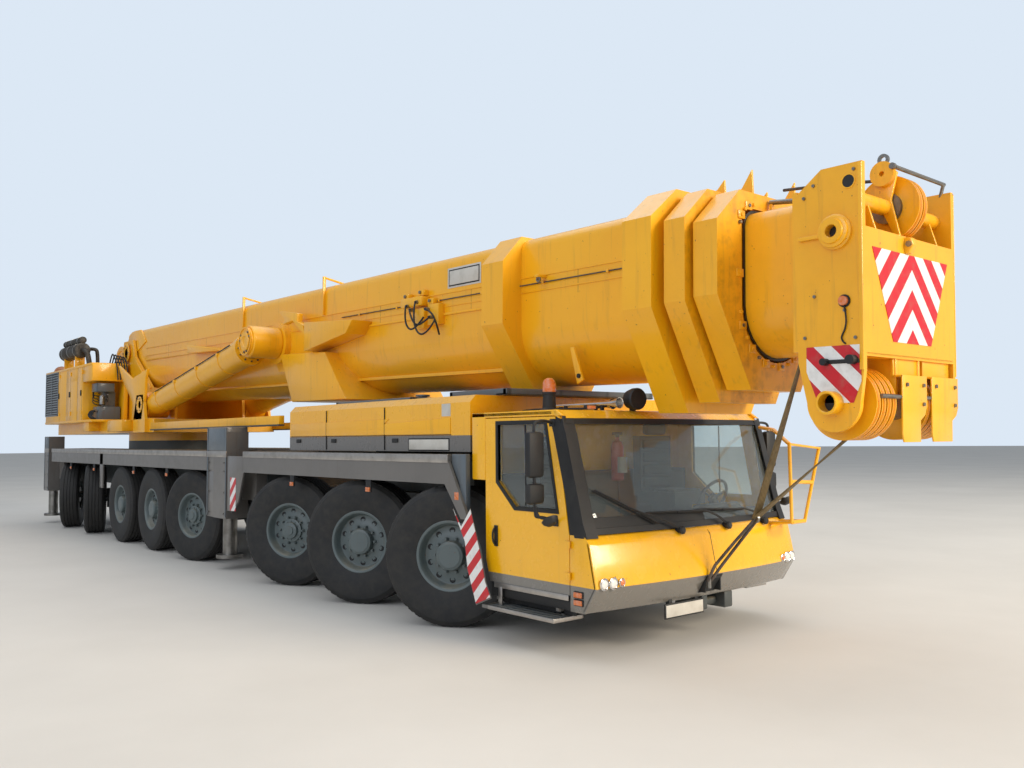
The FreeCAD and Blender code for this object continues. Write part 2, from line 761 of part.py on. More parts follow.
def crane_cab():
    """Crane driver's cab, with its windows and door opening cut."""
    y0, y1 = CC_Y
    x0, x1 = CC_X
    z0, z1 = CC_Z
    shell = side_plate(crane_cab_outline(0), y0, y1)
    shell = shell.cut(side_plate(crane_cab_outline(CC_WALL), y0 + CC_WALL, y1 - CC_WALL))
    doorway = box(CC_DOORWAY_X[0], CC_DOORWAY_X[1], y1 - 100, y1 + 100, CC_DOORWAY_Z[0], CC_DOORWAY_Z[1])
    front = box(x1 - 500, x1 + 100, y0 + 90, y1 - 90, z0 + 520, z1 - 90)
    side = box(x0 + 300, x1 - 300, y0 - 50, y0 + 100, z0 + 700, z1 - 120)
    shell = shell.cut(doorway).cut(front).cut(side)
    rails = [box(x0, x1 - 250, y1, CC_DOOR_Y - RUN_GAP, z, z + 30) for z in (z0 + 95, z1 - 105)]
    ears = []
    tilt_x, tilt_z = TILT_PIN
    reach = TILT_PIN_R + 10
    for y in (TILT_PIN_Y[0], TILT_PIN_Y[1] - EAR_T):
        ear = side_plate([
            (tilt_x - reach, tilt_z - reach),
            (x0, z0),
            (x0, tilt_z + 4 * reach),
            (tilt_x - reach, tilt_z + reach),
        ], y, y + EAR_T)
        ears.append(ear.cut(disc_y(tilt_x, tilt_z, y - 1, y + EAR_T + 1, TILT_PIN_R + RUN_GAP)))
    return [fused([shell] + rails + ears)]


def crane_cab_door():
    """Sliding door of the crane cab."""
    x0, x1 = CC_DOORWAY_X
    z0, z1 = CC_DOORWAY_Z
    y = CC_DOOR_Y
    slab = box(x0 - CC_DOOR_LAP, x1 + CC_DOOR_LAP, y, y + CC_DOOR_T, z0 - CC_DOOR_LAP, z1 + CC_DOOR_LAP)
    window = box(x0 + CC_DOOR_RIM, x1 - CC_DOOR_RIM, y - 10, y + CC_DOOR_T + 10,
                 z0 + CC_DOOR_PANEL, z1 - CC_DOOR_RIM)
    return [slab.cut(window)]


def cylinder_angle():
    """Slope of the lift cylinders at rest, in degrees."""
    return math.degrees(math.atan2(CYL_EYE[1] - CYL_FOOT[1], CYL_EYE[0] - CYL_FOOT[0]))


def cylinder_length():
    """Pin to eye length of the lift cylinders at rest."""
    return math.hypot(CYL_EYE[0] - CYL_FOOT[0], CYL_EYE[1] - CYL_FOOT[1])


def along_cylinder(shape):
    """A piece drawn along +X from the cylinder's foot, put at its slope."""
    placed = shape.copy()
    placed.Placement = Placement(
        Vector(CYL_FOOT[0], 0, CYL_FOOT[1]), Rotation(Vector(0, 1, 0), -cylinder_angle()))
    return placed


def luff_barrels():
    """Barrels of both lift cylinders."""
    end = cylinder_length() - EYE_R - 120
    barrel = fused([
        bar((0, CYL_Y, 0), (end, CYL_Y, 0), BARREL_R),
        bar((end - 130, CYL_Y, 0), (end, CYL_Y, 0), BARREL_R + 25),
        disc_y(0, 0, CYL_Y - BARREL_R + 15, CYL_Y + BARREL_R - 15, BARREL_R + 20),
    ])
    barrel = barrel.cut(bar((500, CYL_Y, 0), (end + 10, CYL_Y, 0), ROD_R + RUN_GAP))
    barrel = barrel.cut(disc_y(0, 0, CYL_Y - BARREL_R - 10, CYL_Y + BARREL_R + 10, CYL_PIN_R + RUN_GAP))
    return both(along_cylinder(barrel))


def luff_rods():
    """Rods of both lift cylinders, with their eyes and round caps."""
    end = cylinder_length()
    rod = fused([
        bar((600, CYL_Y, 0), (end - 50, CYL_Y, 0), ROD_R),
        disc_y(end, 0, CHEEK_Y[1] + 30 + RUN_GAP, CYL_Y + BARREL_R, EYE_R),
        disc_y(end, 0, CYL_Y + BARREL_R, CYL_Y + BARREL_R + 40, EYE_CAP_R),
    ])
    return both(along_cylinder(rod))


def section_face(half, top, low, at):
    """Boom section: flat top with round shoulders, upright sides and a round belly."""
    r = SHOULDER_R
    mid = low + half
    lean = r * (1 - math.cos(math.pi / 4))
    edges = [
        Part.LineSegment(Vector(at, -half + r, top), Vector(at, half - r, top)).toShape(),
        Part.Arc(Vector(at, half - r, top), Vector(at, half - lean, top - lean), Vector(at, half, top - r)).toShape(),
        Part.LineSegment(Vector(at, half, top - r), Vector(at, half, mid)).toShape(),
        Part.Arc(Vector(at, half, mid), Vector(at, 0, low), Vector(at, -half, mid)).toShape(),
        Part.LineSegment(Vector(at, -half, mid), Vector(at, -half, top - r)).toShape(),
        Part.Arc(Vector(at, -half, top - r), Vector(at, -half + lean, top - lean), Vector(at, -half + r, top)).toShape(),
    ]
    return Part.Face(Part.Wire(edges))


def section_bar(half, top, low, start, end):
    """Solid bar with the boom's section."""
    return section_face(half, top, low, start).extrude(Vector(end - start, 0, 0))


def collars(name):
    """Collars of one boom section, still solid inside."""
    solids = []
    for section, start, length, half, top_half, top, side_low, low_half, low in COLLARS:
        if section != name:
            continue
        outline = [
            (-top_half, top), (top_half, top), (half, top - 280), (half, side_low),
            (low_half, low), (-low_half, low), (-half, side_low), (-half, top - 280),
        ]
        solids.append(cross_plate(outline, start, start + length))
    return solids


def boom_section(name, extras):
    """Hollow boom section with its collars and what else it carries."""
    half, top, low, start, end = SECTIONS[name]
    solid = fused([section_bar(half, top, low, start, end)] + collars(name) + extras)
    t = BOOM_WALL
    bore = section_bar(half - t, top - t, low + t, start - 10, end + 20)
    return solid.cut(bore)


def boom_base():
    """Base section with its foot and the pads that the lift cylinders push on."""
    half, top, low, start, _ = SECTIONS["base"]
    eye_u, eye_v = from_boom(*CYL_EYE)
    pad = disc_y(eye_u, eye_v, half - 5, CHEEK_Y[1] + 30, EYE_R + 30)
    plate = side_plate([
        (eye_u - 450, eye_v + 200), (eye_u + 700, eye_v + 120),
        (eye_u + 1300, eye_v - 500), (eye_u - 100, eye_v - 420),
    ], half - 5, half + 20)
    section = boom_section("base", both(fused([pad, plate])))
    foot = fused([
        disc_y(0, 0, half - 14, CHEEK_Y[0] - 6, 260),
    ])
    section = fused([section] + both(foot))
    pin = disc_y(0, 0, -CHEEK_Y[1], CHEEK_Y[1], CYL_PIN_R + 20 + RUN_GAP)
    return [on_boom(section.cut(pin))]


def head_cheek():
    """Left side plate of the boom head, with its lower lobe."""
    lobe_u, lobe_v = LOBE
    plate = side_plate([
        (HEAD_REAR, HEAD_TOP - 150),
        (HEAD_REAR + 200, HEAD_TOP),
        (HEAD_FRONT, HEAD_TOP),
        (HEAD_FRONT, lobe_v + 230),
        (lobe_u + LOBE_R, lobe_v),
        (lobe_u - LOBE_R, lobe_v),
        (HEAD_REAR, lobe_v + 300),
    ], HEAD_HALF_W - HEAD_PLATE, HEAD_HALF_W)
    lobe = disc_y(lobe_u, lobe_v, HEAD_HALF_W - HEAD_PLATE, HEAD_HALF_W, LOBE_R)
    return fused([plate, lobe])


def boom_head():
    """Head with its side plates, front plate and the pins of the sheaves."""
    lobe_u, lobe_v = LOBE
    up_u, up_v = UPPER_SHEAVE
    half = HEAD_HALF_W
    rear = box(HEAD_REAR - 40, HEAD_REAR, -half, half, -900, 300)
    front = box(HEAD_FRONT - 40, HEAD_FRONT, -half + HEAD_PLATE, half - HEAD_PLATE, -950, -30)
    pieces = [rear, front]
    pieces += both(head_cheek())
    pieces.append(disc_y(lobe_u, lobe_v, -half, half, HEAD_PIN_R))
    pieces.append(disc_y(up_u, up_v, -half, half, HEAD_PIN_R))
    return pieces


def tele_3():
    """Innermost section with the boom head."""
    return [on_boom(boom_section("tele_3", boom_head()))]


def sheave_pack(centre, radius, places, width):
    """Sheaves on one pin, joined by their hub."""
    u, v = centre
    reach = max(abs(y) for y in places) + width
    solids = [disc_y(u, v, y - width / 2, y + width / 2, radius) for y in places]
    hub = disc_y(u, v, -reach, reach, HEAD_PIN_R + 60)
    pack = fused([hub] + solids)
    return [on_boom(pack.cut(disc_y(u, v, -reach - 10, reach + 10, HEAD_PIN_R + RUN_GAP)))]


def nodes():
    """Every sub-part of the crane, by name."""
    parts = {
        "chassis_frame": chassis_frame(),
        "driveline": driveline(),
        "decks": decks(),
        "engine_hood": engine_hood(),
        "cab_shell": cab_shell(),
        "cab_glass": cab_glass(),
        "cab_door_left": [cab_door()],
        "cab_door_right": [mirrored(cab_door())],
        "cab_fittings": cab_fittings(),
        "cab_interior": cab_interior(),
        "upper_frame": upper_floor(),
        "upper_housing": upper_housing(),
        "hoist_drum": hoist_drum(),
        "crane_cab": crane_cab(),
        "crane_cab_door": crane_cab_door(),
        "luff_barrels": luff_barrels(),
        "luff_rods": luff_rods(),
        "boom_base": boom_base(),
        "boom_tele_1": [on_boom(boom_section("tele_1", []))],
        "boom_tele_2": [on_boom(boom_section("tele_2", []))],
        "boom_tele_3": tele_3(),
        "head_sheaves_upper": sheave_pack(UPPER_SHEAVE, UPPER_SHEAVE_R, (-450, -350, 350, 450), 60),
        "head_sheaves_lower": sheave_pack(
            LOBE, LOWER_SHEAVE_R, (-500, -400, -300, -200, 200, 300, 400, 500), 60),
    }
    for name, x, angle in AXLES:
        for side_name, side in SIDES:
            parts["wheel_%s_%s" % (name, side_name)] = wheel(x, side, angle)
            if angle is not None:
                parts["knuckle_%s_%s" % (name, side_name)] = [steered(knuckle(), x, side, angle)]
    for name, side, x0, width in OUTRIGGERS:
        parts["outrigger_beam_" + name] = [outrigger_beam(side, x0, width)]
        parts["outrigger_jack_" + name] = [outrigger_jack(side, x0, width)]
    return parts


def main():
    """Write each sub-part to its own file."""
    os.makedirs("parts", exist_ok=True)
    for name, solids in nodes().items():
        shape = solids[0] if len(solids) == 1 else Part.makeCompound(solids)
        shape.exportStep("parts/" + name + ".step")


main()
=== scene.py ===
"""Looks of an eight-axle mobile crane in road trim, dressed over its fixed CAD frame."""
import logging
import math
from collections.abc import Iterator, Sequence
from dataclasses import dataclass
from enum import Enum

import bmesh
import bpy
from mathutils import Matrix, Vector


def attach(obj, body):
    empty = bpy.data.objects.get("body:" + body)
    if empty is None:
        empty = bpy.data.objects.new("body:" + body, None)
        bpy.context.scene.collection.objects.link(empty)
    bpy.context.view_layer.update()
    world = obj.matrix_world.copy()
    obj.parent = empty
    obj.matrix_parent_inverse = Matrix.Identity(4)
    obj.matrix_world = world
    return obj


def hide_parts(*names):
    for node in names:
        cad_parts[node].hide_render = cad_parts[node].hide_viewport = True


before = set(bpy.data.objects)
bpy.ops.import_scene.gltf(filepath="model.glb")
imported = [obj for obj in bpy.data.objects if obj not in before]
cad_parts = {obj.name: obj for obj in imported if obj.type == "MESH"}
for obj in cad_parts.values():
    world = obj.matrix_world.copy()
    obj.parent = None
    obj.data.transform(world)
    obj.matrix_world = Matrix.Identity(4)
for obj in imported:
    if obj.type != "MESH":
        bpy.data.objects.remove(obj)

LOG = logging.getLogger("crane")
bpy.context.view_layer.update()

Point = tuple[float, float, float]
Flat = tuple[float, float]
Socket = bpy.types.NodeSocket
Feed = Socket | str | float | Point

AHEAD: Point = (1.0, 0.0, 0.0)
BACK: Point = (-1.0, 0.0, 0.0)
ORIGIN: Point = (0.0, 0.0, 0.0)
ACROSS: Point = (0.0, 1.0, 0.0)
UP: Point = (0.0, 0.0, 1.0)
EVEN: Point = (1.0, 1.0, 1.0)

# Sizes shared with the CAD model, in metres: each axle's place and how far it is steered
AXLES: dict[int, tuple[float, float]] = {
    1: (5.8, 33.0), 2: (4.1, 31.0), 3: (2.4, 28.0), 4: (-0.75, 15.0),
    5: (-2.45, 0.0), 6: (-4.15, 0.0), 7: (-6.3, -18.0), 8: (-8.0, -22.0),
}
SIDES: dict[str, int] = {"left": 1, "right": -1}
WHEEL_Y = 1.29
KINGPIN_Y = 1.0
TYRE_R = 0.69
TYRE_HALF = 0.1875
BEAD_R = 0.322
BOOM_PIN: Point = (-6.4, 0.0, 3.68)
BOOM_DROOP = math.radians(1.16)
LIFT_FOOT: Flat = (-3.88, 2.51)
LIFT_EYE: Flat = (0.74, 3.28)
LIFT_Y = 0.94
LIFT_LENGTH = math.dist(LIFT_FOOT, LIFT_EYE)
LIFT_SLOPE = math.atan2(LIFT_EYE[1] - LIFT_FOOT[1], LIFT_EYE[0] - LIFT_FOOT[0])
DRUM: Point = (-7.81, 0.0, 3.56)
RING_X = -5.225
HEAD_LOBE: Flat = (16.24, -1.28)
MIRROR_Y = 1.657

# Frames that pieces are drawn in
UPRIGHT = Matrix.Identity(4)
MIRROR = Matrix.Scale(-1.0, 4, ACROSS)
BOOM = Matrix.Translation(BOOM_PIN) @ Matrix.Rotation(BOOM_DROOP, 4, "Y")
LIFT = Matrix.Translation((LIFT_FOOT[0], 0.0, LIFT_FOOT[1])) @ Matrix.Rotation(-LIFT_SLOPE, 4, "Y")
HANDS: dict[str, Matrix] = {"left": UPRIGHT, "right": MIRROR}


def linear(code: str) -> tuple[float, float, float, float]:
    """Turns an sRGB hex colour to linear values.

    Args:
        code: the colour as six hex digits after a hash.

    Returns:
        Red, green, blue and an alpha of one.
    """
    values = [int(code[i:i + 2], 16) / 255.0 for i in (1, 3, 5)]
    red, green, blue = (
        v / 12.92 if v <= 0.04045 else ((v + 0.055) / 1.055) ** 2.4 for v in values
    )
    return red, green, blue, 1.0


def add_node(
    tree: bpy.types.NodeTree,
    kind: str,
    settings: dict[str, object] | None = None,
    feeds: dict[str | int, Feed] | None = None,
) -> bpy.types.Node:
    """Adds a node with its settings and what feeds its inputs.

    Args:
        tree: the node tree.
        kind: the node's type, without its ShaderNode prefix.
        settings: values of the node's own properties.
        feeds: a socket, number, vector or hex colour for each input, by name or number.

    Returns:
        The node.
    """
    made = tree.nodes.new("ShaderNode" + kind)
    for key, value in (settings or {}).items():
        setattr(made, key, value)
    for key, value in (feeds or {}).items():
        if isinstance(value, Socket):
            tree.links.new(value, made.inputs[key])
        else:
            made.inputs[key].default_value = linear(value) if isinstance(value, str) else value
    return made


class Pattern:
    """One material: its coordinates, and the masks and layers drawn on them."""

    def __init__(self, name: str, **shader: float) -> None:
        """Starts a material.

        Args:
            name: the material's name.
            shader: values of the shader's inputs, with underscores for spaces.
        """
        self.material = bpy.data.materials.new(name)
        self.material.use_nodes = True
        self.tree = self.material.node_tree
        self.tree.nodes.clear()
        feeds = {key.replace("_", " "): value for key, value in shader.items()}
        self.shader = self.add("BsdfPrincipled", feeds=feeds)
        self.add("OutputMaterial", feeds={"Surface": self.shader.outputs[0]})
        self.place = self.add("TexCoord").outputs["Object"]

    def add(self, kind: str, settings: dict[str, object] | None = None,
            feeds: dict[str | int, Feed] | None = None) -> bpy.types.Node:
        """Adds a node to this material."""
        return add_node(self.tree, kind, settings, feeds)

    def cloud(self, per_metre: float, detail: float = 5.0, stretch: Point = EVEN) -> Socket:
        """Draws cloudy noise.

        Args:
            per_metre: blots per metre.
            detail: octaves of finer noise.
            stretch: how much faster it changes along each axis.

        Returns:
            The noise's value.
        """
        spread = self.add("Mapping", feeds={"Vector": self.place, "Scale": stretch})
        return self.add("TexNoise", feeds={
            "Vector": spread.outputs[0], "Scale": per_metre, "Detail": detail, "Roughness": 0.6}).outputs[0]

    def mask(self, source: Socket | float, low: float, high: float, most: float = 1.0, detail: float = 5.0,
             stretch: Point = EVEN) -> Socket:
        """Turns a value to a mask that rises from nothing at low to most at high.

        Args:
            source: the value, or blots per metre of noise to draw for it.
            low: value where the mask starts.
            high: value where it is full.
            most: the full mask.
            detail: octaves of finer noise.
            stretch: how much faster the noise changes along each axis.

        Returns:
            The mask.
        """
        value = self.cloud(source, detail, stretch) if isinstance(source, float) else source
        return self.add("MapRange", feeds={
            "Value": value, "From Min": low, "From Max": high, "To Max": most}).outputs[0]

    def work(self, value: Feed, *steps: tuple[str, Feed]) -> Socket:
        """Works a value through operations in turn, each given with its second number.

        Args:
            value: the first value.
            steps: each operation with its second value.

        Returns:
            The worked value.
        """
        for how, second in steps:
            value = self.add("Math", {"operation": how}, {0: value, 1: second}).outputs[0]
        return value

    def along(self, axis: str, of_face: bool = False) -> Socket:
        """Gives one coordinate of the object or, of a face, how far it looks that way."""
        source = self.add("NewGeometry").outputs["Normal"] if of_face else self.place
        return self.add("SeparateXYZ", feeds={0: source}).outputs[axis]

    def coat(self, colour: str, *layers: tuple[Socket, str]) -> None:
        """Colours the surface: a first colour, then layers where their masks are one.

        Args:
            colour: the first colour.
            layers: each mask with the colour that it lays on top.
        """
        under: Feed = colour
        for mask, over in layers:
            under = self.add("Mix", {"data_type": "RGBA"}, {0: mask, 6: under, 7: over}).outputs[2]
        self.tree.links.new(under, self.shader.inputs["Base Color"])

    def dull(self, rough: float, *layers: tuple[Socket, float]) -> None:
        """Sets the roughness: an even one, and how much each mask adds to it.

        Args:
            rough: the even roughness.
            layers: each mask with its share.
        """
        total: Feed = rough
        for mask, share in layers:
            total = self.work(mask, ("MULTIPLY", share), ("ADD", total))
        self.tree.links.new(total, self.shader.inputs["Roughness"])

    def relief(self, depth: float, source: Socket | float, detail: float = 2.0,
               stretch: Point = EVEN) -> bpy.types.Material:
        """Presses a relief in the surface and ends the material.

        Args:
            depth: its depth in metres.
            source: its height, or blots per metre of noise to draw for it.
            detail: octaves of finer noise.
            stretch: how much faster the noise changes along each axis.

        Returns:
            The material.
        """
        height = self.cloud(source, detail, stretch) if isinstance(source, float) else source
        made = self.add("Bump", feeds={"Distance": depth, "Strength": 1.0, "Height": height})
        self.tree.links.new(made.outputs[0], self.shader.inputs["Normal"])
        return self.material


@dataclass(frozen=True)
class Enamel:
    """Two-pack enamel sprayed on welded steel: an even gloss coat with dust, streaks and chips."""

    name: str
    colour: str
    shade: str
    gloss: float = 0.28
    clear: float = 0.5
    dust: float = 0.35
    streaks: float = 0.35
    grease: float = 0.0
    lower: str | None = None
    split_z: float = 0.0

    def build(self) -> bpy.types.Material:
        """Builds the enamel."""
        p = Pattern(self.name, Coat_Weight=self.clear, Coat_Roughness=0.12)
        layers = [(p.mask(1.1, 0.35, 0.7, 0.55), self.shade)]
        if self.lower is not None:
            layers.append((p.mask(p.along("Z"), self.split_z + 0.002, self.split_z - 0.002), self.lower))
        # Rain draws dirt down the sides in streaks some 60 mm apart, and dust lies on what looks up.
        layers.append((p.mask(16.0, 0.56, 0.78, self.streaks, 3.0, (1.0, 1.0, 0.08)), "#5b4a33"))
        settled = p.work(p.mask(p.along("Z", True), 0.25, 0.95, self.dust),
                         ("MULTIPLY", p.mask(5.0, 0.3, 0.65)))
        layers += [(settled, "#b9a98a"), (p.mask(38.0, 0.73, 0.755, 1.0, 2.0), "#6a3d1d")]
        rough = [(p.mask(9.0, 0.2, 0.9, 0.22), 1.0)]
        if self.grease > 0.0:
            # Grease gathers round the seals: on the collars' faces that look ahead, short of the head.
            faces = p.work(p.mask(p.along("X", True), 0.6, 0.9),
                           ("MULTIPLY", p.mask(p.along("X"), 9.2, 9.1)), ("MAXIMUM", 0.12))
            film = p.work(p.mask(11.0, 0.46, 0.84, self.grease, 10.0), ("MULTIPLY", faces))
            layers.append((film, "#5e3a12"))
            rough.append((film, 0.15))
        p.coat(self.colour, *layers)
        p.dull(self.gloss, *rough)
        # Orange peel of a sprayed coat, drawn at 12 mm so that it shows.
        return p.relief(0.0006, 85.0)


@dataclass(frozen=True)
class Metal:
    """Bare metal, drawn, ground or plated: long brush marks under a dull film."""

    name: str
    colour: str
    rough: float = 0.3
    tarnish: str = "#55504a"
    tarnished: float = 0.35

    def build(self) -> bpy.types.Material:
        """Builds the metal."""
        p = Pattern(self.name, Metallic=0.9)
        film = p.mask(7.0, 0.42, 0.7, self.tarnished, 6.0)
        p.coat(self.colour, (film, self.tarnish))
        p.dull(self.rough, (film, 0.5))
        return p.relief(0.0004, 40.0, 3.0, (1.0, 1.0, 30.0))


@dataclass(frozen=True)
class Moulding:
    """Moulded plastic, rubber, film or cloth with a fine grain and pale wear."""

    name: str
    colour: str
    worn: str
    rough: float = 0.55
    grain_mm: float = 4.0

    def build(self) -> bpy.types.Material:
        """Builds the moulding."""
        p = Pattern(self.name)
        wear = p.mask(6.0, 0.45, 0.75, 0.6, 6.0)
        p.coat(self.colour, (wear, self.worn))
        p.dull(self.rough, (wear, 0.25))
        return p.relief(0.0005, 1000.0 / self.grain_mm)


@dataclass(frozen=True)
class TyreRubber:
    """Cured black tyre rubber: rings moulded in the side walls, road dust in the low places."""

    name: str
    colour: str = "#151617"
    dusty: str = "#3b3833"
    scrubbed: str = "#2e2c29"

    def build(self) -> bpy.types.Material:
        """Builds the rubber, its rings and sipes following the wheel's own place attribute."""
        p = Pattern(self.name)
        local = p.add("Attribute", {"attribute_name": "wheel_place"}).outputs["Vector"]
        split = p.add("SeparateXYZ", feeds={0: local}).outputs
        x, z = split["X"], split["Z"]
        radius = p.work(x, ("MULTIPLY", x), ("ADD", p.work(z, ("MULTIPLY", z))), ("SQRT", 0.0))
        dust = p.mask(9.0, 0.38, 0.72, 0.65, 6.0)
        p.coat(self.colour, (dust, self.dusty), (p.mask(radius, 0.655, 0.685, 0.5), self.scrubbed))
        p.dull(0.62, (dust, 0.2))
        # Fine rings 12 mm apart on the side wall, and sipes across the tread every 20 mm.
        rings = p.work(radius, ("MULTIPLY", 2.0 * math.pi / 0.012), ("SINE", 0.0), ("MULTIPLY", 0.35))
        sipes = p.work(x, ("ARCTAN2", z), ("MULTIPLY", 216.0), ("SINE", 0.0),
                       ("MULTIPLY", p.mask(radius, 0.66, 0.675)))
        return p.relief(0.0007, p.work(rings, ("ADD", sipes)))


@dataclass(frozen=True)
class WarningStripes:
    """Retroreflective film in red and white bars on an aluminium plate, scuffed and dusty."""

    name: str
    pitch: float
    slope: Point
    chevron: bool = False
    red: str = "#c8202a"
    white: str = "#e9e7e2"

    def build(self) -> bpy.types.Material:
        """Builds the film."""
        p = Pattern(self.name)
        x, y, z = (p.along(axis) for axis in "XYZ")
        if self.chevron:
            y = p.work(y, ("ABSOLUTE", 0.0))
        total = p.work(x, ("MULTIPLY", self.slope[0]))
        for part, share in ((y, self.slope[1]), (z, self.slope[2])):
            total = p.work(part, ("MULTIPLY", share), ("ADD", total))
        turn = p.work(total, ("DIVIDE", self.pitch), ("ADD", 100.0), ("FRACT", 0.0), ("SUBTRACT", 0.5),
                      ("ABSOLUTE", 0.0))
        grime = p.mask(14.0, 0.5, 0.8, 0.35, 7.0)
        p.coat(self.red, (p.mask(turn, 0.245, 0.255), self.white), (grime, "#8a7d6a"))
        p.dull(0.3, (grime, 0.4))
        # Hexagonal cells of the film, drawn at 8 mm so that they show.
        cells = p.add("TexVoronoi", feeds={"Vector": p.place, "Scale": 125.0})
        return p.relief(0.0002, cells.outputs[0])


@dataclass(frozen=True)
class Lens:
    """Pressed acrylic or glass lens over a bright reflector, with fine flutes."""

    name: str
    colour: str

    def build(self) -> bpy.types.Material:
        """Builds the lens."""
        p = Pattern(self.name, IOR=1.49, Coat_Weight=0.6)
        haze = p.mask(30.0, 0.4, 0.8, 0.4, 4.0)
        p.coat(self.colour, (haze, "#d8d2c8"))
        p.dull(0.12, (haze, 0.3))
        flutes = p.add("TexWave", feeds={"Vector": p.place, "Scale": 60.0, "Distortion": 0.2})
        return p.relief(0.0012, flutes.outputs[1])


@dataclass(frozen=True)
class Glazing:
    """Laminated safety glass, faintly grey-green, with a thin film of dust."""

    name: str
    colour: str = "#dfe8e6"

    def build(self) -> bpy.types.Material:
        """Builds the glass."""
        p = Pattern(self.name, Transmission_Weight=0.93, IOR=1.45)
        film = p.mask(5.0, 0.5, 0.9, 0.3, 7.0)
        p.coat(self.colour, (film, "#c4c3b8"))
        p.dull(0.0, (film, 0.05))
        return p.material


@dataclass(frozen=True)
class Strands:
    """Woven sling or laid wire rope, drawn from its strands' spacing."""

    name: str
    colour: str
    worn: str
    strand_mm: float

    def build(self) -> bpy.types.Material:
        """Builds the strands."""
        p = Pattern(self.name)
        soil = p.mask(12.0, 0.4, 0.7, 0.8, 6.0)
        p.coat(self.colour, (soil, self.worn))
        p.dull(0.65, (soil, 0.2))
        lay = p.add("TexWave", {"bands_direction": "DIAGONAL"}, {
            "Vector": p.place, "Scale": 50.0 / self.strand_mm, "Distortion": 0.4})
        return p.relief(0.0012, lay.outputs[1])


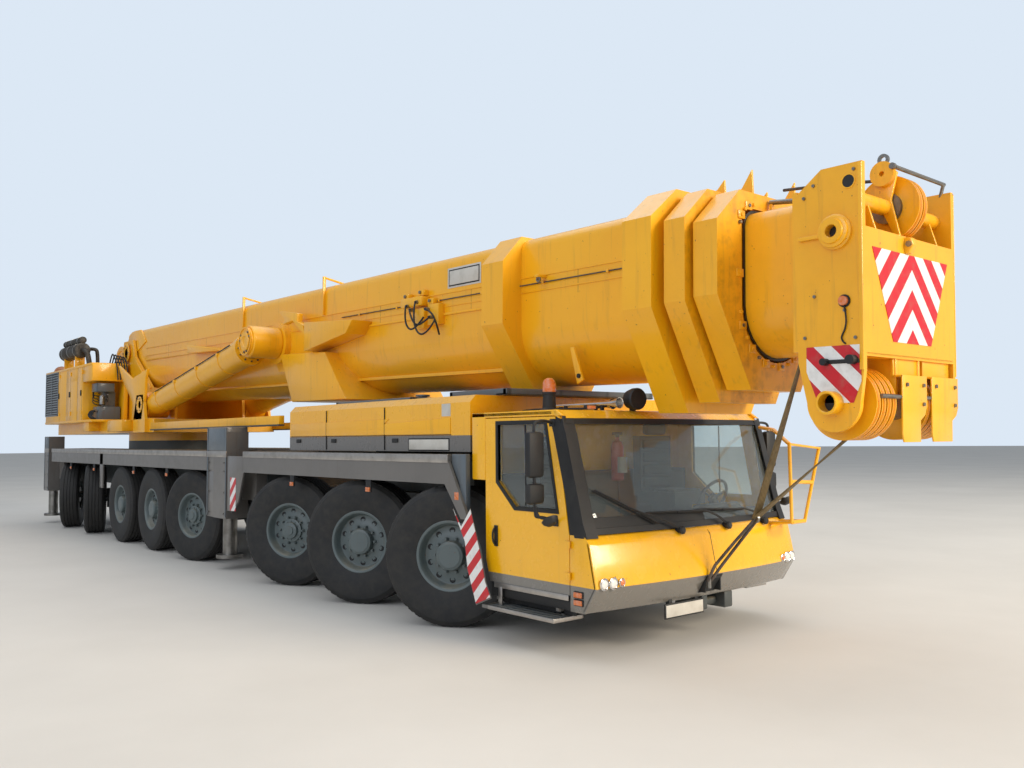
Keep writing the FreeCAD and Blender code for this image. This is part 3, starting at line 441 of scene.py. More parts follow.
class Finishes:
    """Every finish of the crane, built once."""

    def __init__(self) -> None:
        """Builds the finishes, each under the name of its use."""
        rows = {
            # Sprayed two-pack enamel on plate: deep even yellow, soft sheen, faint rain marks.
            "yellow": Enamel("enamel_yellow_on_steel", "#f8b50e", "#efa80a", streaks=0.2, dust=0.2),
            # The same yellow where slides are greased: brown smears on the collars' faces.
            "greasy": Enamel("enamel_yellow_greased", "#f5b010", "#e8a00b", grease=0.5, streaks=0.25,
                             dust=0.2),
            # Gloss cab enamel: clear highlights, a sharp edge to the grey sill.
            "two_tone": Enamel("enamel_cab_yellow_over_grey", "#fbb90d", "#f6b30c", 0.16, 0.8, 0.15, 0.12,
                               lower="#77736c", split_z=0.615),
            # Hood enamel: as glossy as the cab, with a grey foot.
            "hood": Enamel("enamel_hood_yellow_over_grey", "#f8b50e", "#f0aa0c", 0.2, 0.7, 0.3, 0.2,
                           lower="#68645f", split_z=1.87),
            # Metallic grey enamel on the decks: warm, half gloss, dusty on top.
            "grey": Enamel("enamel_metallic_grey", "#6d6964", "#5f5c58", 0.3, 0.4, 0.4, 0.35),
            # Chassis enamel: flat dark grey under much road dirt.
            "chassis": Enamel("enamel_chassis_grey", "#454a49", "#3a3f3f", 0.45, 0.1, 0.6, 0.5),
            # Wheel enamel: cool mid grey with little shine.
            "rim": Enamel("enamel_wheel_grey", "#5c6767", "#4f5a5a", 0.4, 0.15, 0.4, 0.3),
            # Sheet steel in slate enamel: a little bluer than the decks.
            "slate": Enamel("enamel_slate_on_sheet", "#5d666c", "#525b61", 0.32, 0.3, 0.35, 0.3),
            # Red enamel on a drawn cylinder: wet gloss, nearly clean.
            "red_paint": Enamel("enamel_red_on_cylinder", "#b5161b", "#a01317", 0.2, 0.8, 0.1, 0.05),
            # Primer orange on the inlet's cap: dull and sun bleached.
            "amber_paint": Enamel("enamel_orange_primed_cap", "#b4642a", "#9c5522"),
            # Drawn aluminium edge: pale grey with long soft glints.
            "alloy": Metal("aluminium_drawn_edge", "#b9b4ae", 0.32, tarnished=0.3),
            # Ground steel with oil on it: bright with brown patches.
            "steel": Metal("steel_ground_oiled", "#8d8b86", 0.28, "#4a3a2a", 0.5),
            # Polished chrome plate: mirror clear.
            "chrome": Metal("chrome_plate_polished", "#d9d9d8", 0.08, "#6f6a62", 0.2),
            # Silvered glass: the clearest mirror of all.
            "mirror": Metal("mirror_silvered_glass", "#dfe3e4", 0.03, "#b8bcbb", 0.1),
            # Turned brass: warm yellow gone brown in the corners.
            "brass": Metal("brass_turned_fittings", "#b08d45", 0.3, "#5a4520", 0.4),
            # Silencer steel: dull, with soot and rust brown.
            "sooty": Metal("steel_silencer_sooty", "#5a5752", 0.55, "#3a2f26", 0.6),
            # Tyre rubber: black, matt, grey with dust.
            "rubber": TyreRubber("tyre_rubber_road_worn"),
            # Moulded black plastic: leather grain, grey where it is rubbed.
            "black": Moulding("plastic_black_moulded", "#17181a", "#34332f"),
            # Extruded rubber: soft black with no shine.
            "seal": Moulding("rubber_seal_extruded", "#1c1d1e", "#3a3833", 0.7),
            # Greased wiper seal: wet black.
            "grease_pack": Moulding("rubber_wiper_seal_greased", "#1a1613", "#33261a", 0.35, 5.0),
            # Woven seat cloth: matt charcoal, threads drawn at 3 mm.
            "cloth": Moulding("seat_cloth_woven", "#33363a", "#4a4b4c", 0.85, 3.0),
            # Plain vinyl film: pale and smooth, with nothing printed on it.
            "label": Moulding("film_vinyl_plain_pale", "#c9c5bb", "#a39d90", 0.4, 6.0),
            # Laminated glass: nearly clear, dusty.
            "glass": Glazing("glass_laminated_tinted"),
            # Lamp glass: white flutes over a reflector.
            "lamp": Lens("lamp_glass_over_reflector", "#e8e6e1"),
            # Amber acrylic: orange with a wet shine.
            "amber": Lens("acrylic_lens_amber", "#e0701a"),
            # Red acrylic: deep red with a wet shine.
            "red": Lens("acrylic_lens_red", "#a8151a"),
            # Reflective film: flat red and white bars that meet at a point.
            "chevron": WarningStripes("film_red_white_chevron", 0.27, (0.0, 1.0, 0.9), True),
            # Reflective film with wide leaning bars.
            "bars": WarningStripes("film_red_white_bars", 0.2, (0.72, 0.0, 0.72)),
            # Reflective film with narrow bars that lean the other way.
            "plate_bars": WarningStripes("film_red_white_narrow_bars", 0.155, (0.72, 0.0, -0.72)),
            # Greased wire rope: dark twisted strands of 8 mm.
            "rope": Strands("wire_rope_greased", "#5a5047", "#2e2621", 8.0),
            # Polyester sling: olive brown, soiled, with 4 mm ribs.
            "sling": Strands("sling_polyester_soiled", "#7d6a45", "#51452f", 4.0),
        }
        self.by_use: dict[str, bpy.types.Material] = {use: row.build() for use, row in rows.items()}

    def __getitem__(self, use: str) -> bpy.types.Material:
        """Gives the finish of a use."""
        return self.by_use[use]


class Axis(Enum):
    """Direction that a flat shape or a ring of bolts is set along."""

    X = Vector(AHEAD)
    Y = Vector(ACROSS)
    Z = Vector(UP)


class Piece:
    """One dressed piece: a mesh put together from worked shapes."""

    def __init__(self, name: str, body: str, finishes: Sequence[bpy.types.Material],
                 place: Matrix = UPRIGHT) -> None:
        """Starts an empty piece.

        Args:
            name: the piece's name.
            body: CAD body that it rides on.
            finishes: its materials, in the order that shapes name them.
            place: where the shapes' own coordinates lie on the crane.
        """
        self.name = name
        self.body = body
        self.finishes = finishes
        self.place = place
        self.here = UPRIGHT
        self.bm = bmesh.new()

    def sides(self, left: object = None, right: object = None) -> Iterator[object]:
        """Sets the shapes that follow on the left, then mirrored on the right.

        Args:
            left: what is given for the left side.
            right: what is given for the right side.

        Yields:
            The given value of each side.
        """
        for here, given in ((UPRIGHT, left), (MIRROR, right)):
            self.here = here
            yield given
        self.here = UPRIGHT

    def around(self, count: int, start: float = 0.0) -> Iterator[int]:
        """Sets the shapes that follow at even turns about the Y axis.

        Args:
            count: number of turns.
            start: first turn, as a share of the step between two.

        Yields:
            The turn's number.
        """
        for number in range(count):
            self.here = Matrix.Rotation(2.0 * math.pi * (number + start) / count, 4, "Y")
            yield number
        self.here = UPRIGHT

    def take(self, part: bmesh.types.BMesh, finish: int = 0, place: Matrix = UPRIGHT) -> None:
        """Joins a worked shape to the piece and frees it.

        Args:
            part: the shape.
            finish: number of its finish.
            place: where it goes within the piece.
        """
        place = self.here @ place
        bmesh.ops.recalc_face_normals(part, faces=part.faces)
        bmesh.ops.transform(part, matrix=place, verts=part.verts)
        if place.determinant() < 0.0:
            bmesh.ops.reverse_faces(part, faces=part.faces)
        for face in part.faces:
            face.material_index = finish
            face.smooth = True
        mesh = bpy.data.meshes.new("shape")
        part.to_mesh(mesh)
        part.free()
        self.bm.from_mesh(mesh)
        bpy.data.meshes.remove(mesh)

    def block(self, low: Point, high: Point, bevel: float = 0.0, finish: int = 0) -> None:
        """Adds a block with eased edges between two corners.

        Args:
            low: one corner.
            high: the far corner.
            bevel: ease of its edges.
            finish: number of its finish.
        """
        part = bmesh.new()
        bmesh.ops.create_cube(part, size=1.0)
        size = [abs(b - a) for a, b in zip(low, high)]
        middle = [(a + b) / 2.0 for a, b in zip(low, high)]
        bmesh.ops.scale(part, vec=size, verts=part.verts)
        bmesh.ops.translate(part, vec=middle, verts=part.verts)
        ease(part, min(bevel, min(size) * 0.45))
        self.take(part, finish)

    def rod(self, start: Point, end: Point, radius: float, finish: int = 0, sides: int = 20) -> None:
        """Adds a round bar, or a bolt's head where it has six sides.

        Args:
            start: middle of one end.
            end: middle of the other.
            radius: its radius.
            finish: number of its finish.
            sides: facets round it.
        """
        part = bmesh.new()
        a, b = Vector(start), Vector(end)
        bmesh.ops.create_cone(part, cap_ends=True, segments=sides, radius1=radius, radius2=radius,
                              depth=(b - a).length)
        self.take(part, finish, set_along((a + b) / 2.0, b - a))

    def bolts(self, centre: Point, axis: Axis, ring: float, count: int, length: float, radius: float,
              finish: int = 0) -> None:
        """Adds a ring of hexagon bolt heads that stand up along an axis.

        Args:
            centre: middle of the ring, at the heads' feet.
            axis: direction of the bolts.
            ring: radius of the ring.
            count: number of bolts.
            length: height of a head.
            radius: radius of a head.
            finish: number of its finish.
        """
        across = [other.value for other in Axis if other is not axis]
        for number in range(count):
            turn = 2.0 * math.pi * number / count
            foot = Vector(centre) + across[0] * ring * math.cos(turn) + across[1] * ring * math.sin(turn)
            self.rod(foot, foot + axis.value * length, radius, finish, 6)

    def plate(self, outline: Sequence[Flat], axis: Axis, start: float, end: float, bevel: float = 0.0,
              finish: int = 0) -> None:
        """Adds a flat plate.

        Args:
            outline: corners in the plane across the axis: (y, z), (x, z) or (x, y).
            axis: direction of its thickness.
            start: place of one face along the axis.
            end: place of the other face.
            bevel: ease of its edges.
            finish: number of its finish.
        """
        part = bmesh.new()
        number = list(Axis).index(axis)
        for a, b in outline:
            corner = [a, b]
            corner.insert(number, start)
            bmesh.ops.create_vert(part, co=corner)
        bmesh.ops.contextual_create(part, geom=part.verts)
        raised = bmesh.ops.extrude_face_region(part, geom=part.faces)
        moved = [v for v in raised["geom"] if isinstance(v, bmesh.types.BMVert)]
        bmesh.ops.translate(part, vec=axis.value * (end - start), verts=moved)
        ease(part, bevel)
        self.take(part, finish)

    def turned(self, profile: Sequence[Flat], centre: Point, direction: Point = ACROSS, finish: int = 0,
               steps: int = 32, closed: bool = False) -> None:
        """Adds a shape turned on a lathe.

        Args:
            profile: (radius, height) pairs along the axis.
            centre: where height zero lies.
            direction: the axis.
            finish: number of its finish.
            steps: facets round it.
            closed: whether the profile's last point joins the first.
        """
        part = bmesh.new()
        verts = [bmesh.ops.create_vert(part, co=(r, 0.0, h))["vert"][0] for r, h in profile]
        for a, b in zip(verts, verts[1:] + (verts[:1] if closed else [])):
            part.edges.new((a, b))
        bmesh.ops.spin(
            part, geom=list(part.verts) + list(part.edges), cent=ORIGIN, axis=UP,
            dvec=ORIGIN, angle=2.0 * math.pi, steps=steps, use_merge=True, use_duplicate=False)
        bmesh.ops.remove_doubles(part, verts=part.verts, dist=0.00001)
        self.take(part, finish, set_along(Vector(centre), Vector(direction)))

    def hoop(self, inner: float, outer: float, low: float, high: float, centre: Point,
             direction: Point = ACROSS, finish: int = 0, steps: int = 32) -> None:
        """Adds a flat ring or disc.

        Args:
            inner: inner radius, nothing for a disc.
            outer: outer radius.
            low: height of its foot.
            high: height of its top.
            centre: where height zero lies.
            direction: its axis.
            finish: number of its finish.
            steps: facets round it.
        """
        profile = [(inner, low), (outer, low), (outer, high), (inner, high)]
        self.turned(profile, centre, direction, finish, steps, inner > 0.0)

    def tube(self, route: Sequence[Point], radius: float, finish: int = 0, smooth: bool = True) -> None:
        """Adds a bent pipe, hose or rope along a route.

        Args:
            route: points along its middle.
            radius: its radius.
            finish: number of its finish.
            smooth: whether it bends in curves; else it has corners at the points.
        """
        curve = bpy.data.curves.new("route", "CURVE")
        curve.dimensions = "3D"
        curve.bevel_depth = radius
        curve.bevel_resolution = 3
        curve.resolution_u = 6
        curve.use_fill_caps = True
        spline = curve.splines.new("NURBS" if smooth else "POLY")
        spline.points.add(len(route) - 1)
        for point, at in zip(spline.points, route):
            point.co = (*at, 1.0)
        if smooth:
            spline.order_u = 3
            spline.use_endpoint_u = True
        holder = bpy.data.objects.new("route", curve)
        mesh = bpy.data.meshes.new_from_object(holder)
        part = bmesh.new()
        part.from_mesh(mesh)
        bpy.data.objects.remove(holder)
        bpy.data.curves.remove(curve)
        bpy.data.meshes.remove(mesh)
        self.take(part, finish)

    def loft(self, loops: Sequence[Sequence[Point]], finish: int = 0, closed: bool = False,
             bevel: float = 0.0) -> None:
        """Adds a shape bridged over rings of corners.

        Args:
            loops: rings with as many corners each, in order along the shape.
            finish: number of its finish.
            closed: whether the last ring joins the first; else both ends are capped.
            bevel: ease of its sharp edges.
        """
        part = bmesh.new()
        rings = []
        for loop in loops:
            verts = [bmesh.ops.create_vert(part, co=co)["vert"][0] for co in loop]
            rings.append([part.edges.new((a, b)) for a, b in zip(verts, verts[1:] + verts[:1])])
        for a, b in zip(rings, rings[1:] + (rings[:1] if closed else [])):
            bmesh.ops.bridge_loops(part, edges=a + b)
        if not closed:
            for ring in (rings[0], rings[-1]):
                bmesh.ops.contextual_create(part, geom=ring)
        ease(part, bevel)
        self.take(part, finish)

    def done(self, slot: str, replaces: Sequence[str] = ()) -> None:
        """Finishes the piece and seats it on its body.

        Args:
            slot: not used.
            replaces: CAD nodes that it stands for.
        """
        bmesh.ops.transform(self.bm, matrix=self.place, verts=self.bm.verts)
        if self.place.determinant() < 0.0:
            bmesh.ops.reverse_faces(self.bm, faces=self.bm.faces)
        mesh = bpy.data.meshes.new(self.name)
        self.bm.to_mesh(mesh)
        self.bm.free()
        for finish in self.finishes:
            mesh.materials.append(finish)
        mesh.set_sharp_from_angle(angle=math.radians(32.0))
        made = bpy.data.objects.new(self.name, mesh)
        bpy.context.scene.collection.objects.link(made)
        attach(made, self.body)
        if replaces:
            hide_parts(*replaces)
        LOG.info("%s: %d faces on %s", self.name, len(mesh.polygons), self.body)


def set_along(centre: Vector, direction: Vector) -> Matrix:
    """Gives the place of a shape drawn up the Z axis that is set along a direction."""
    turn = Vector(UP).rotation_difference(direction).to_matrix().to_4x4()
    return Matrix.Translation(centre) @ turn


def ease(part: bmesh.types.BMesh, offset: float) -> None:
    """Bevels every sharp edge of a shape by offset, where it is more than nothing."""
    if offset <= 0.0:
        return
    sharp = [e for e in part.edges if len(e.link_faces) == 2 and e.calc_face_angle() > 0.5]
    bmesh.ops.bevel(
        part, geom=sharp, offset=offset, segments=2, profile=0.5,
        affect="EDGES", material=-1, clamp_overlap=True)


@dataclass
class SubAssembly:
    """A group of pieces of the crane."""

    finishes: Finishes

    def start(self, name: str, body: str, *uses: str, place: Matrix = UPRIGHT) -> Piece:
        """Starts a piece with finishes named by their uses."""
        return Piece(name, body, [self.finishes[use] for use in uses], place)


class Hub(Enum):
    """Middle of a wheel: a smooth cover, or a bolted hub reduction."""

    COVER = "cover"
    REDUCTION = "reduction"


@dataclass
class Wheels(SubAssembly):
    """Sixteen single tyres on dished steel disc wheels."""

    lugs: int = 48
    nuts: int = 10
    hub_height: float = 0.17
    nut_ring: float = 0.168
    hand_hole_ring: float = 0.243
    hub_bolts: int = 12
    hub_bolt_ring: float = 0.116
    covered: tuple[int, ...] = (1, 2, 5, 6)

    def tyre_profile(self) -> list[Flat]:
        """Gives the closed section of a tyre as (radius, across), grooves included."""
        half = TYRE_HALF
        wall = [
            (BEAD_R, 0.148), (0.335, 0.16), (0.352, 0.166), (0.4, 0.176), (0.47, 0.1855),
            (0.54, half), (0.6, 0.1855), (0.635, 0.181), (0.64, 0.176), (0.664, 0.166),
            (0.681, 0.15),
        ]
        tread = [
            (0.6885, 0.135), (0.6895, 0.098), (0.6775, 0.095), (0.6775, 0.084), (0.6895, 0.081),
            (TYRE_R, 0.036), (0.678, 0.033), (0.678, 0.022), (TYRE_R, 0.019),
        ]
        side = wall + tread
        return side + [(r, -y) for r, y in reversed(side)]

    def tyre(self, piece: Piece) -> None:
        """Adds a tyre with its shoulder lugs."""
        piece.turned(self.tyre_profile(), ORIGIN, steps=72, closed=True)
        for y0, y1 in ((0.104, 0.153), (-0.153, -0.104)):
            for _ in piece.around(self.lugs):
                piece.block((-0.031, y0, 0.655), (0.031, y1, 0.6872), 0.004)

    def rim(self, piece: Piece, hub: Hub) -> None:
        """Adds a disc wheel with its hub and nuts, and black discs on the dish as painted shade for its
        hand holes.
        """
        dish = [
            (0.3215, -0.15), (0.3215, 0.15), (0.345, 0.156), (0.347, 0.164), (0.34, 0.167),
            (0.322, 0.163), (0.312, 0.152), (0.303, 0.128), (0.297, 0.085), (0.286, 0.07),
            (0.262, 0.066), (0.205, 0.08), (0.19, 0.084), (0.145, 0.084), (0.145, 0.06),
            (0.262, 0.046), (0.3, 0.05), (0.306, -0.15),
        ]
        piece.turned(dish, ORIGIN, finish=1, steps=64, closed=True)
        for _ in piece.around(self.nuts, 0.5):
            piece.rod((0.0, 0.082, self.nut_ring), (0.0, 0.118, self.nut_ring), 0.017, 1, 6)
            piece.rod((0.0, 0.118, self.nut_ring), (0.0, 0.13, self.nut_ring), 0.01, 1, 8)
        # The hand holes are black discs on the dish: painted shade for the dark seen through them.
        for _ in piece.around(self.nuts, 1.0):
            piece.turned([(0.0, 0.0), (0.019, 0.0), (0.026, 0.006), (0.03, 0.004), (0.03, -0.004)],
                         (0.0, 0.07, self.hand_hole_ring), ACROSS, 2, 14)
        if hub is Hub.COVER:
            cap = [(0.145, 0.06), (0.145, 0.14), (0.138, 0.158), (0.118, 0.166), (0.112, 0.17),
                   (0.0, self.hub_height)]
        else:
            cap = [(0.145, 0.06), (0.145, 0.112), (0.128, 0.118), (0.105, 0.12), (0.1, 0.15),
                   (0.082, 0.158), (0.06, 0.16), (0.056, self.hub_height), (0.0, self.hub_height)]
            for _ in piece.around(self.hub_bolts):
                piece.rod((0.0, 0.112, self.hub_bolt_ring), (0.0, 0.128, self.hub_bolt_ring), 0.008, 1, 6)
        piece.turned(cap, ORIGIN, finish=1, steps=40)
        piece.rod((0.045, 0.168, -0.02), (0.045, 0.1695, -0.02), 0.009, 2, 10)

    def build(self) -> None:
        """Builds every wheel in its place, standing for the CAD one."""
        for number, (x, angle) in AXLES.items():
            for name, side in SIDES.items():
                node = f"wheel_{number}_{name}"
                pin = Matrix.Translation((x, side * KINGPIN_Y, TYRE_R))
                steer = pin @ Matrix.Rotation(math.radians(angle), 4, "Z")
                out = Matrix.Scale(side, 4, ACROSS) @ Matrix.Translation((0.0, WHEEL_Y - KINGPIN_Y, 0.0))
                piece = self.start(f"{node}_dressed", node, "rubber", "rim", "black", place=steer @ out)
                self.tyre(piece)
                self.rim(piece, Hub.COVER if number in self.covered else Hub.REDUCTION)
                layer = piece.bm.verts.layers.float_vector.new("wheel_place")
                for vert in piece.bm.verts:
                    vert[layer] = vert.co
                piece.done("tyre", [node])


@dataclass
class Head(SubAssembly):
    """Warning plates, sheaves, pins and lamps of the boom head, in the boom's own frame."""

    half: float = 0.7
    front: float = 16.48
    upper: Flat = (16.33, 0.21)

    def plates(self) -> None:
        """Adds the chevron plate on the front and a striped plate on each cheek."""
        piece = self.start("head_chevron_plate", "boom_tele_3", "chevron", place=BOOM)
        piece.plate(
            [(-0.575, -0.165), (0.575, -0.165), (0.29, -0.83), (-0.29, -0.83)], Axis.X,
            self.front + 0.0005, self.front + 0.004, 0.0, 0)
        piece.done("yellow")
        piece = self.start("head_side_stripes", "boom_tele_3", "bars", place=BOOM)
        outline = [(16.03, -0.87), (16.46, -0.87), (16.46, -1.13), (16.4, -1.28), (16.12, -1.28),
                   (16.03, -1.05)]
        for _ in piece.sides():
            piece.plate(outline, Axis.Y, self.half + 0.0005, self.half + 0.004, 0.0, 0)
        piece.done("yellow")

    def sheave(self, piece: Piece, centre: Flat, y: float, radius: float, finish: int) -> None:
        """Adds one rope sheave with its groove."""
        u, v = centre
        piece.turned(
            [(0.062, -0.028), (radius - 0.075, -0.016), (radius - 0.035, -0.016), (radius, -0.026),
             (radius, -0.018), (radius - 0.028, -0.007), (radius - 0.028, 0.007), (radius, 0.018),
             (radius, 0.026), (radius - 0.035, 0.016), (radius - 0.075, 0.016), (0.062, 0.028)],
            (u, y, v), finish=finish, steps=56, closed=True)

    def sheaves(self) -> None:
        """Adds both packs of sheaves, standing for the CAD ones."""
        packs = (
            ("upper", self.upper, 0.25, (-0.035, 0.035)),
            ("lower", HEAD_LOBE, 0.27, (-0.56, -0.485, -0.41, -0.335, 0.185, 0.26, 0.335, 0.41, 0.485,
                                        0.56)),
        )
        for name, centre, radius, places in packs:
            node = f"head_sheaves_{name}"
            piece = self.start(f"{node}_dressed", node, "greasy", "steel", place=BOOM)
            for y in places:
                self.sheave(piece, centre, y, radius, 0)
            reach = max(places) + 0.055
            piece.hoop(0.0605, 0.118, -reach, reach, (centre[0], 0.0, centre[1]), finish=1, steps=40)
            piece.done("yellow", [node])

    def build(self) -> None:
        """Builds the head's dress."""
        self.plates()
        self.sheaves()


# Outline of the cab's bowed front, as (height, place at the middle), and its bow
CAB_FACE: list[Flat] = [(0.4, 8.055), (0.62, 8.195), (0.97, 8.12), (1.03, 8.06), (1.99, 7.81), (2.08, 7.69)]
CAB_BOW_X = -1.805
CAB_SIDE = 1.4


def cab_front(y: float, z: float, proud: float = 0.0) -> Point:
    """Gives a point on the cab's bowed front, or a little ahead of it.

    Args:
        y: place across the crane.
        z: height.
        proud: how far ahead of the face the point lies.

    Returns:
        The point.
    """
    for (z0, x0), (z1, x1) in zip(CAB_FACE, CAB_FACE[1:]):
        if z <= z1:
            break
    middle = x0 + (x1 - x0) * (z - z0) / (z1 - z0) + proud
    return CAB_BOW_X + math.sqrt((middle - CAB_BOW_X) ** 2 - y * y), y, z


def steps(start: float, end: float, count: int) -> list[float]:
    """Gives evenly spaced values from start to end, both included."""
    return [start + (end - start) * i / (count - 1) for i in range(count)]


@dataclass
class Decks(SubAssembly):
    """Edge strips, lamps, treads and warning plates of the walkways."""

    front: Flat = (1.41, 6.2)
    rear_left: Flat = (-8.86, 0.11)
    rear_right: Flat = (-9.05, 0.11)
    strip_top: float = 1.686
    lamp_x: tuple[float, ...] = (2.87, 4.7, -1.62, -3.3, -5.74, -7.45)

    def strips(self) -> None:
        """Adds the drawn aluminium strip along each deck's top edge, with its bolts."""
        piece = self.start("deck_edge_strips", "carrier", "alloy")
        for rear in piece.sides(self.rear_left, self.rear_right):
            for x0, x1 in (self.front, rear):
                piece.block((x0, 1.499, 1.605), (x1, 1.508, self.strip_top), 0.003)
                piece.block((x0, 1.455, 1.6805), (x1, 1.504, self.strip_top), 0.002)
                x = x0 + 0.25
                while x < x1:
                    piece.rod((x, 1.507, 1.645), (x, 1.511, 1.645), 0.009, 0, 6)
                    x += 0.45
        piece.done("grey_panel")

    def treads(self) -> None:
        """Adds chequered tread sheets with raised bars, narrower beside the slewing ring."""
        piece = self.start("deck_treads", "carrier", "alloy", "chassis")
        for rear in piece.sides(self.rear_left, self.rear_right):
            for x0, x1 in (self.front, rear):
                x = x0 + 0.05
                while x < x1 - 0.1:
                    low = 1.02 if abs(x - RING_X) < 1.05 else 0.66
                    piece.block((x, 1.44, 1.6805), (x + 0.035, low, 1.688), 0.002, 1)
                    x += 0.14
        piece.done("grey_panel")

    def lamps(self) -> None:
        """Adds small amber side lamps under the skirts, in black holders."""
        piece = self.start("deck_side_lamps", "carrier", "amber", "black")
        for x in self.lamp_x:
            for _ in piece.sides():
                piece.block((x - 0.055, 1.475, 1.262), (x + 0.055, 1.492, 1.402), 0.006, 1)
                piece.block((x - 0.045, 1.49, 1.268), (x + 0.045, 1.504, 1.318), 0.008, 0)
        for _ in piece.sides():
            piece.block((6.3, 1.49, 1.255), (6.37, 1.503, 1.33), 0.008, 0)
        piece.done("grey_panel")

    def warnings(self) -> None:
        """Adds striped film on the plates behind the cab's steps and on the jack's post."""
        outline = [(6.56, 1.18), (6.715, 0.765), (6.775, 0.54), (6.85, 0.41), (6.64, 0.325),
                   (6.515, 0.625), (6.495, 0.745), (6.475, 0.875), (6.415, 1.01), (6.29, 1.17)]
        piece = self.start("cab_rear_stripes", "carrier", "plate_bars")
        for _ in piece.sides():
            piece.plate(outline, Axis.Y, 1.504, 1.507)
        piece.done("grey_panel")
        piece = self.start("jack_post_stripes", "carrier", "plate_bars", "chassis")
        piece.block((0.985, -1.497, 0.86), (1.175, -1.503, 1.32), 0.0, 0)
        piece.block((0.99, -1.49, 0.83), (1.02, -1.45, 1.62), 0.003, 1)
        piece.done("grey_panel")

    def build(self) -> None:
        """Builds what the decks carry."""
        self.strips()
        self.treads()
        self.lamps()
        self.warnings()


@dataclass
class Hood(SubAssembly):
    """Air intakes, pressed side panels, seams and bare plates of the engine hood."""

    side: float = 1.38
    top: float = 2.26

    def intakes(self) -> None:
        """Adds the grilles on top, each a frame round a row of slats."""
        piece = self.start("hood_intakes", "carrier", "slate", "black")
        for x0, x1, half, rise, end in ((5.62, 6.4, 1.06, 0.065, 6.56), (3.05, 4.8, 0.98, 0.05, 4.8)):
            z = self.top + rise
            for y0, y1 in ((-half, -half + 0.07), (half - 0.07, half), (-0.36, -0.31), (0.31, 0.36)):
                piece.block((x0, y0, self.top - 0.001), (end, y1, z), 0.008)
            for x in (x0, end - 0.06):
                piece.block((x, -half, self.top - 0.001), (x + 0.06, half, z), 0.008)
            count = int((x1 - x0 - 0.1) / 0.055)
            for i in range(count):
                x = x0 + 0.08 + i * 0.055
                piece.block((x, -half + 0.05, z - 0.035), (x + 0.022, half - 0.05, z - 0.006), 0.003)
        piece.block((6.395, -1.06, 2.262), (6.56, 1.06, 2.28), 0.004, 1)
        for x, y in ((4.3, -0.5), (3.4, 0.55)):
            piece.turned([(0.0, 0.0), (0.05, 0.0), (0.05, 0.04), (0.085, 0.045), (0.085, 0.065),
                          (0.0, 0.07)], (x, y, self.top + 0.04), UP, 0, 24)
        piece.done("grey_panel")

    def panels(self) -> None:
        """Adds the pressed yellow side panel with its step, and the dark seams between doors."""
        outline = [(2.62, 1.885), (2.62, 2.035), (4.86, 2.005), (4.95, 2.055), (6.08, 2.045), (6.08, 1.885)]
        piece = self.start("hood_side_panels", "carrier", "yellow", "black", "label")
        for _ in piece.sides():
            y = self.side
            piece.plate(outline, Axis.Y, y - 0.002, y + 0.009, 0.006, 0)
            for x in (3.55, 4.86):
                piece.block((x, y, 1.72), (x + 0.007, y + 0.0105, 2.18), 0.0, 1)
            piece.block((2.6, y, 1.872), (6.09, y + 0.003, 1.88), 0.0, 1)
            piece.block((5.33, y, 1.715), (6.06, y + 0.003, 1.845), 0.001, 1)
            piece.block((5.345, y, 1.728), (6.045, y + 0.005, 1.832), 0.001, 2)
            piece.block((5.93, y, 2.06), (6.08, y + 0.002, 2.185), 0.001, 2)
            for x in (2.78, 3.68, 5.02):
                piece.block((x, y, 1.8), (x + 0.11, y + 0.012, 1.845), 0.004, 1)
        piece.done("yellow")

    def guard(self) -> None:
        """Adds the grey fender panels between the hood and the cab."""
        piece = self.start("cab_fenders", "carrier", "slate", "amber")
        for _ in piece.sides():
            outline = [(6.215, 1.69), (6.44, 1.69), (6.44, 1.19), (6.43, 1.1), (6.33, 1.42), (6.215, 1.6)]
            piece.plate(outline, Axis.Y, 1.41, 1.468, 0.008, 0)
        piece.done("grey_panel")

    def build(self) -> None:
        """Builds what the hood carries."""
        self.intakes()
        self.panels()
        self.guard()


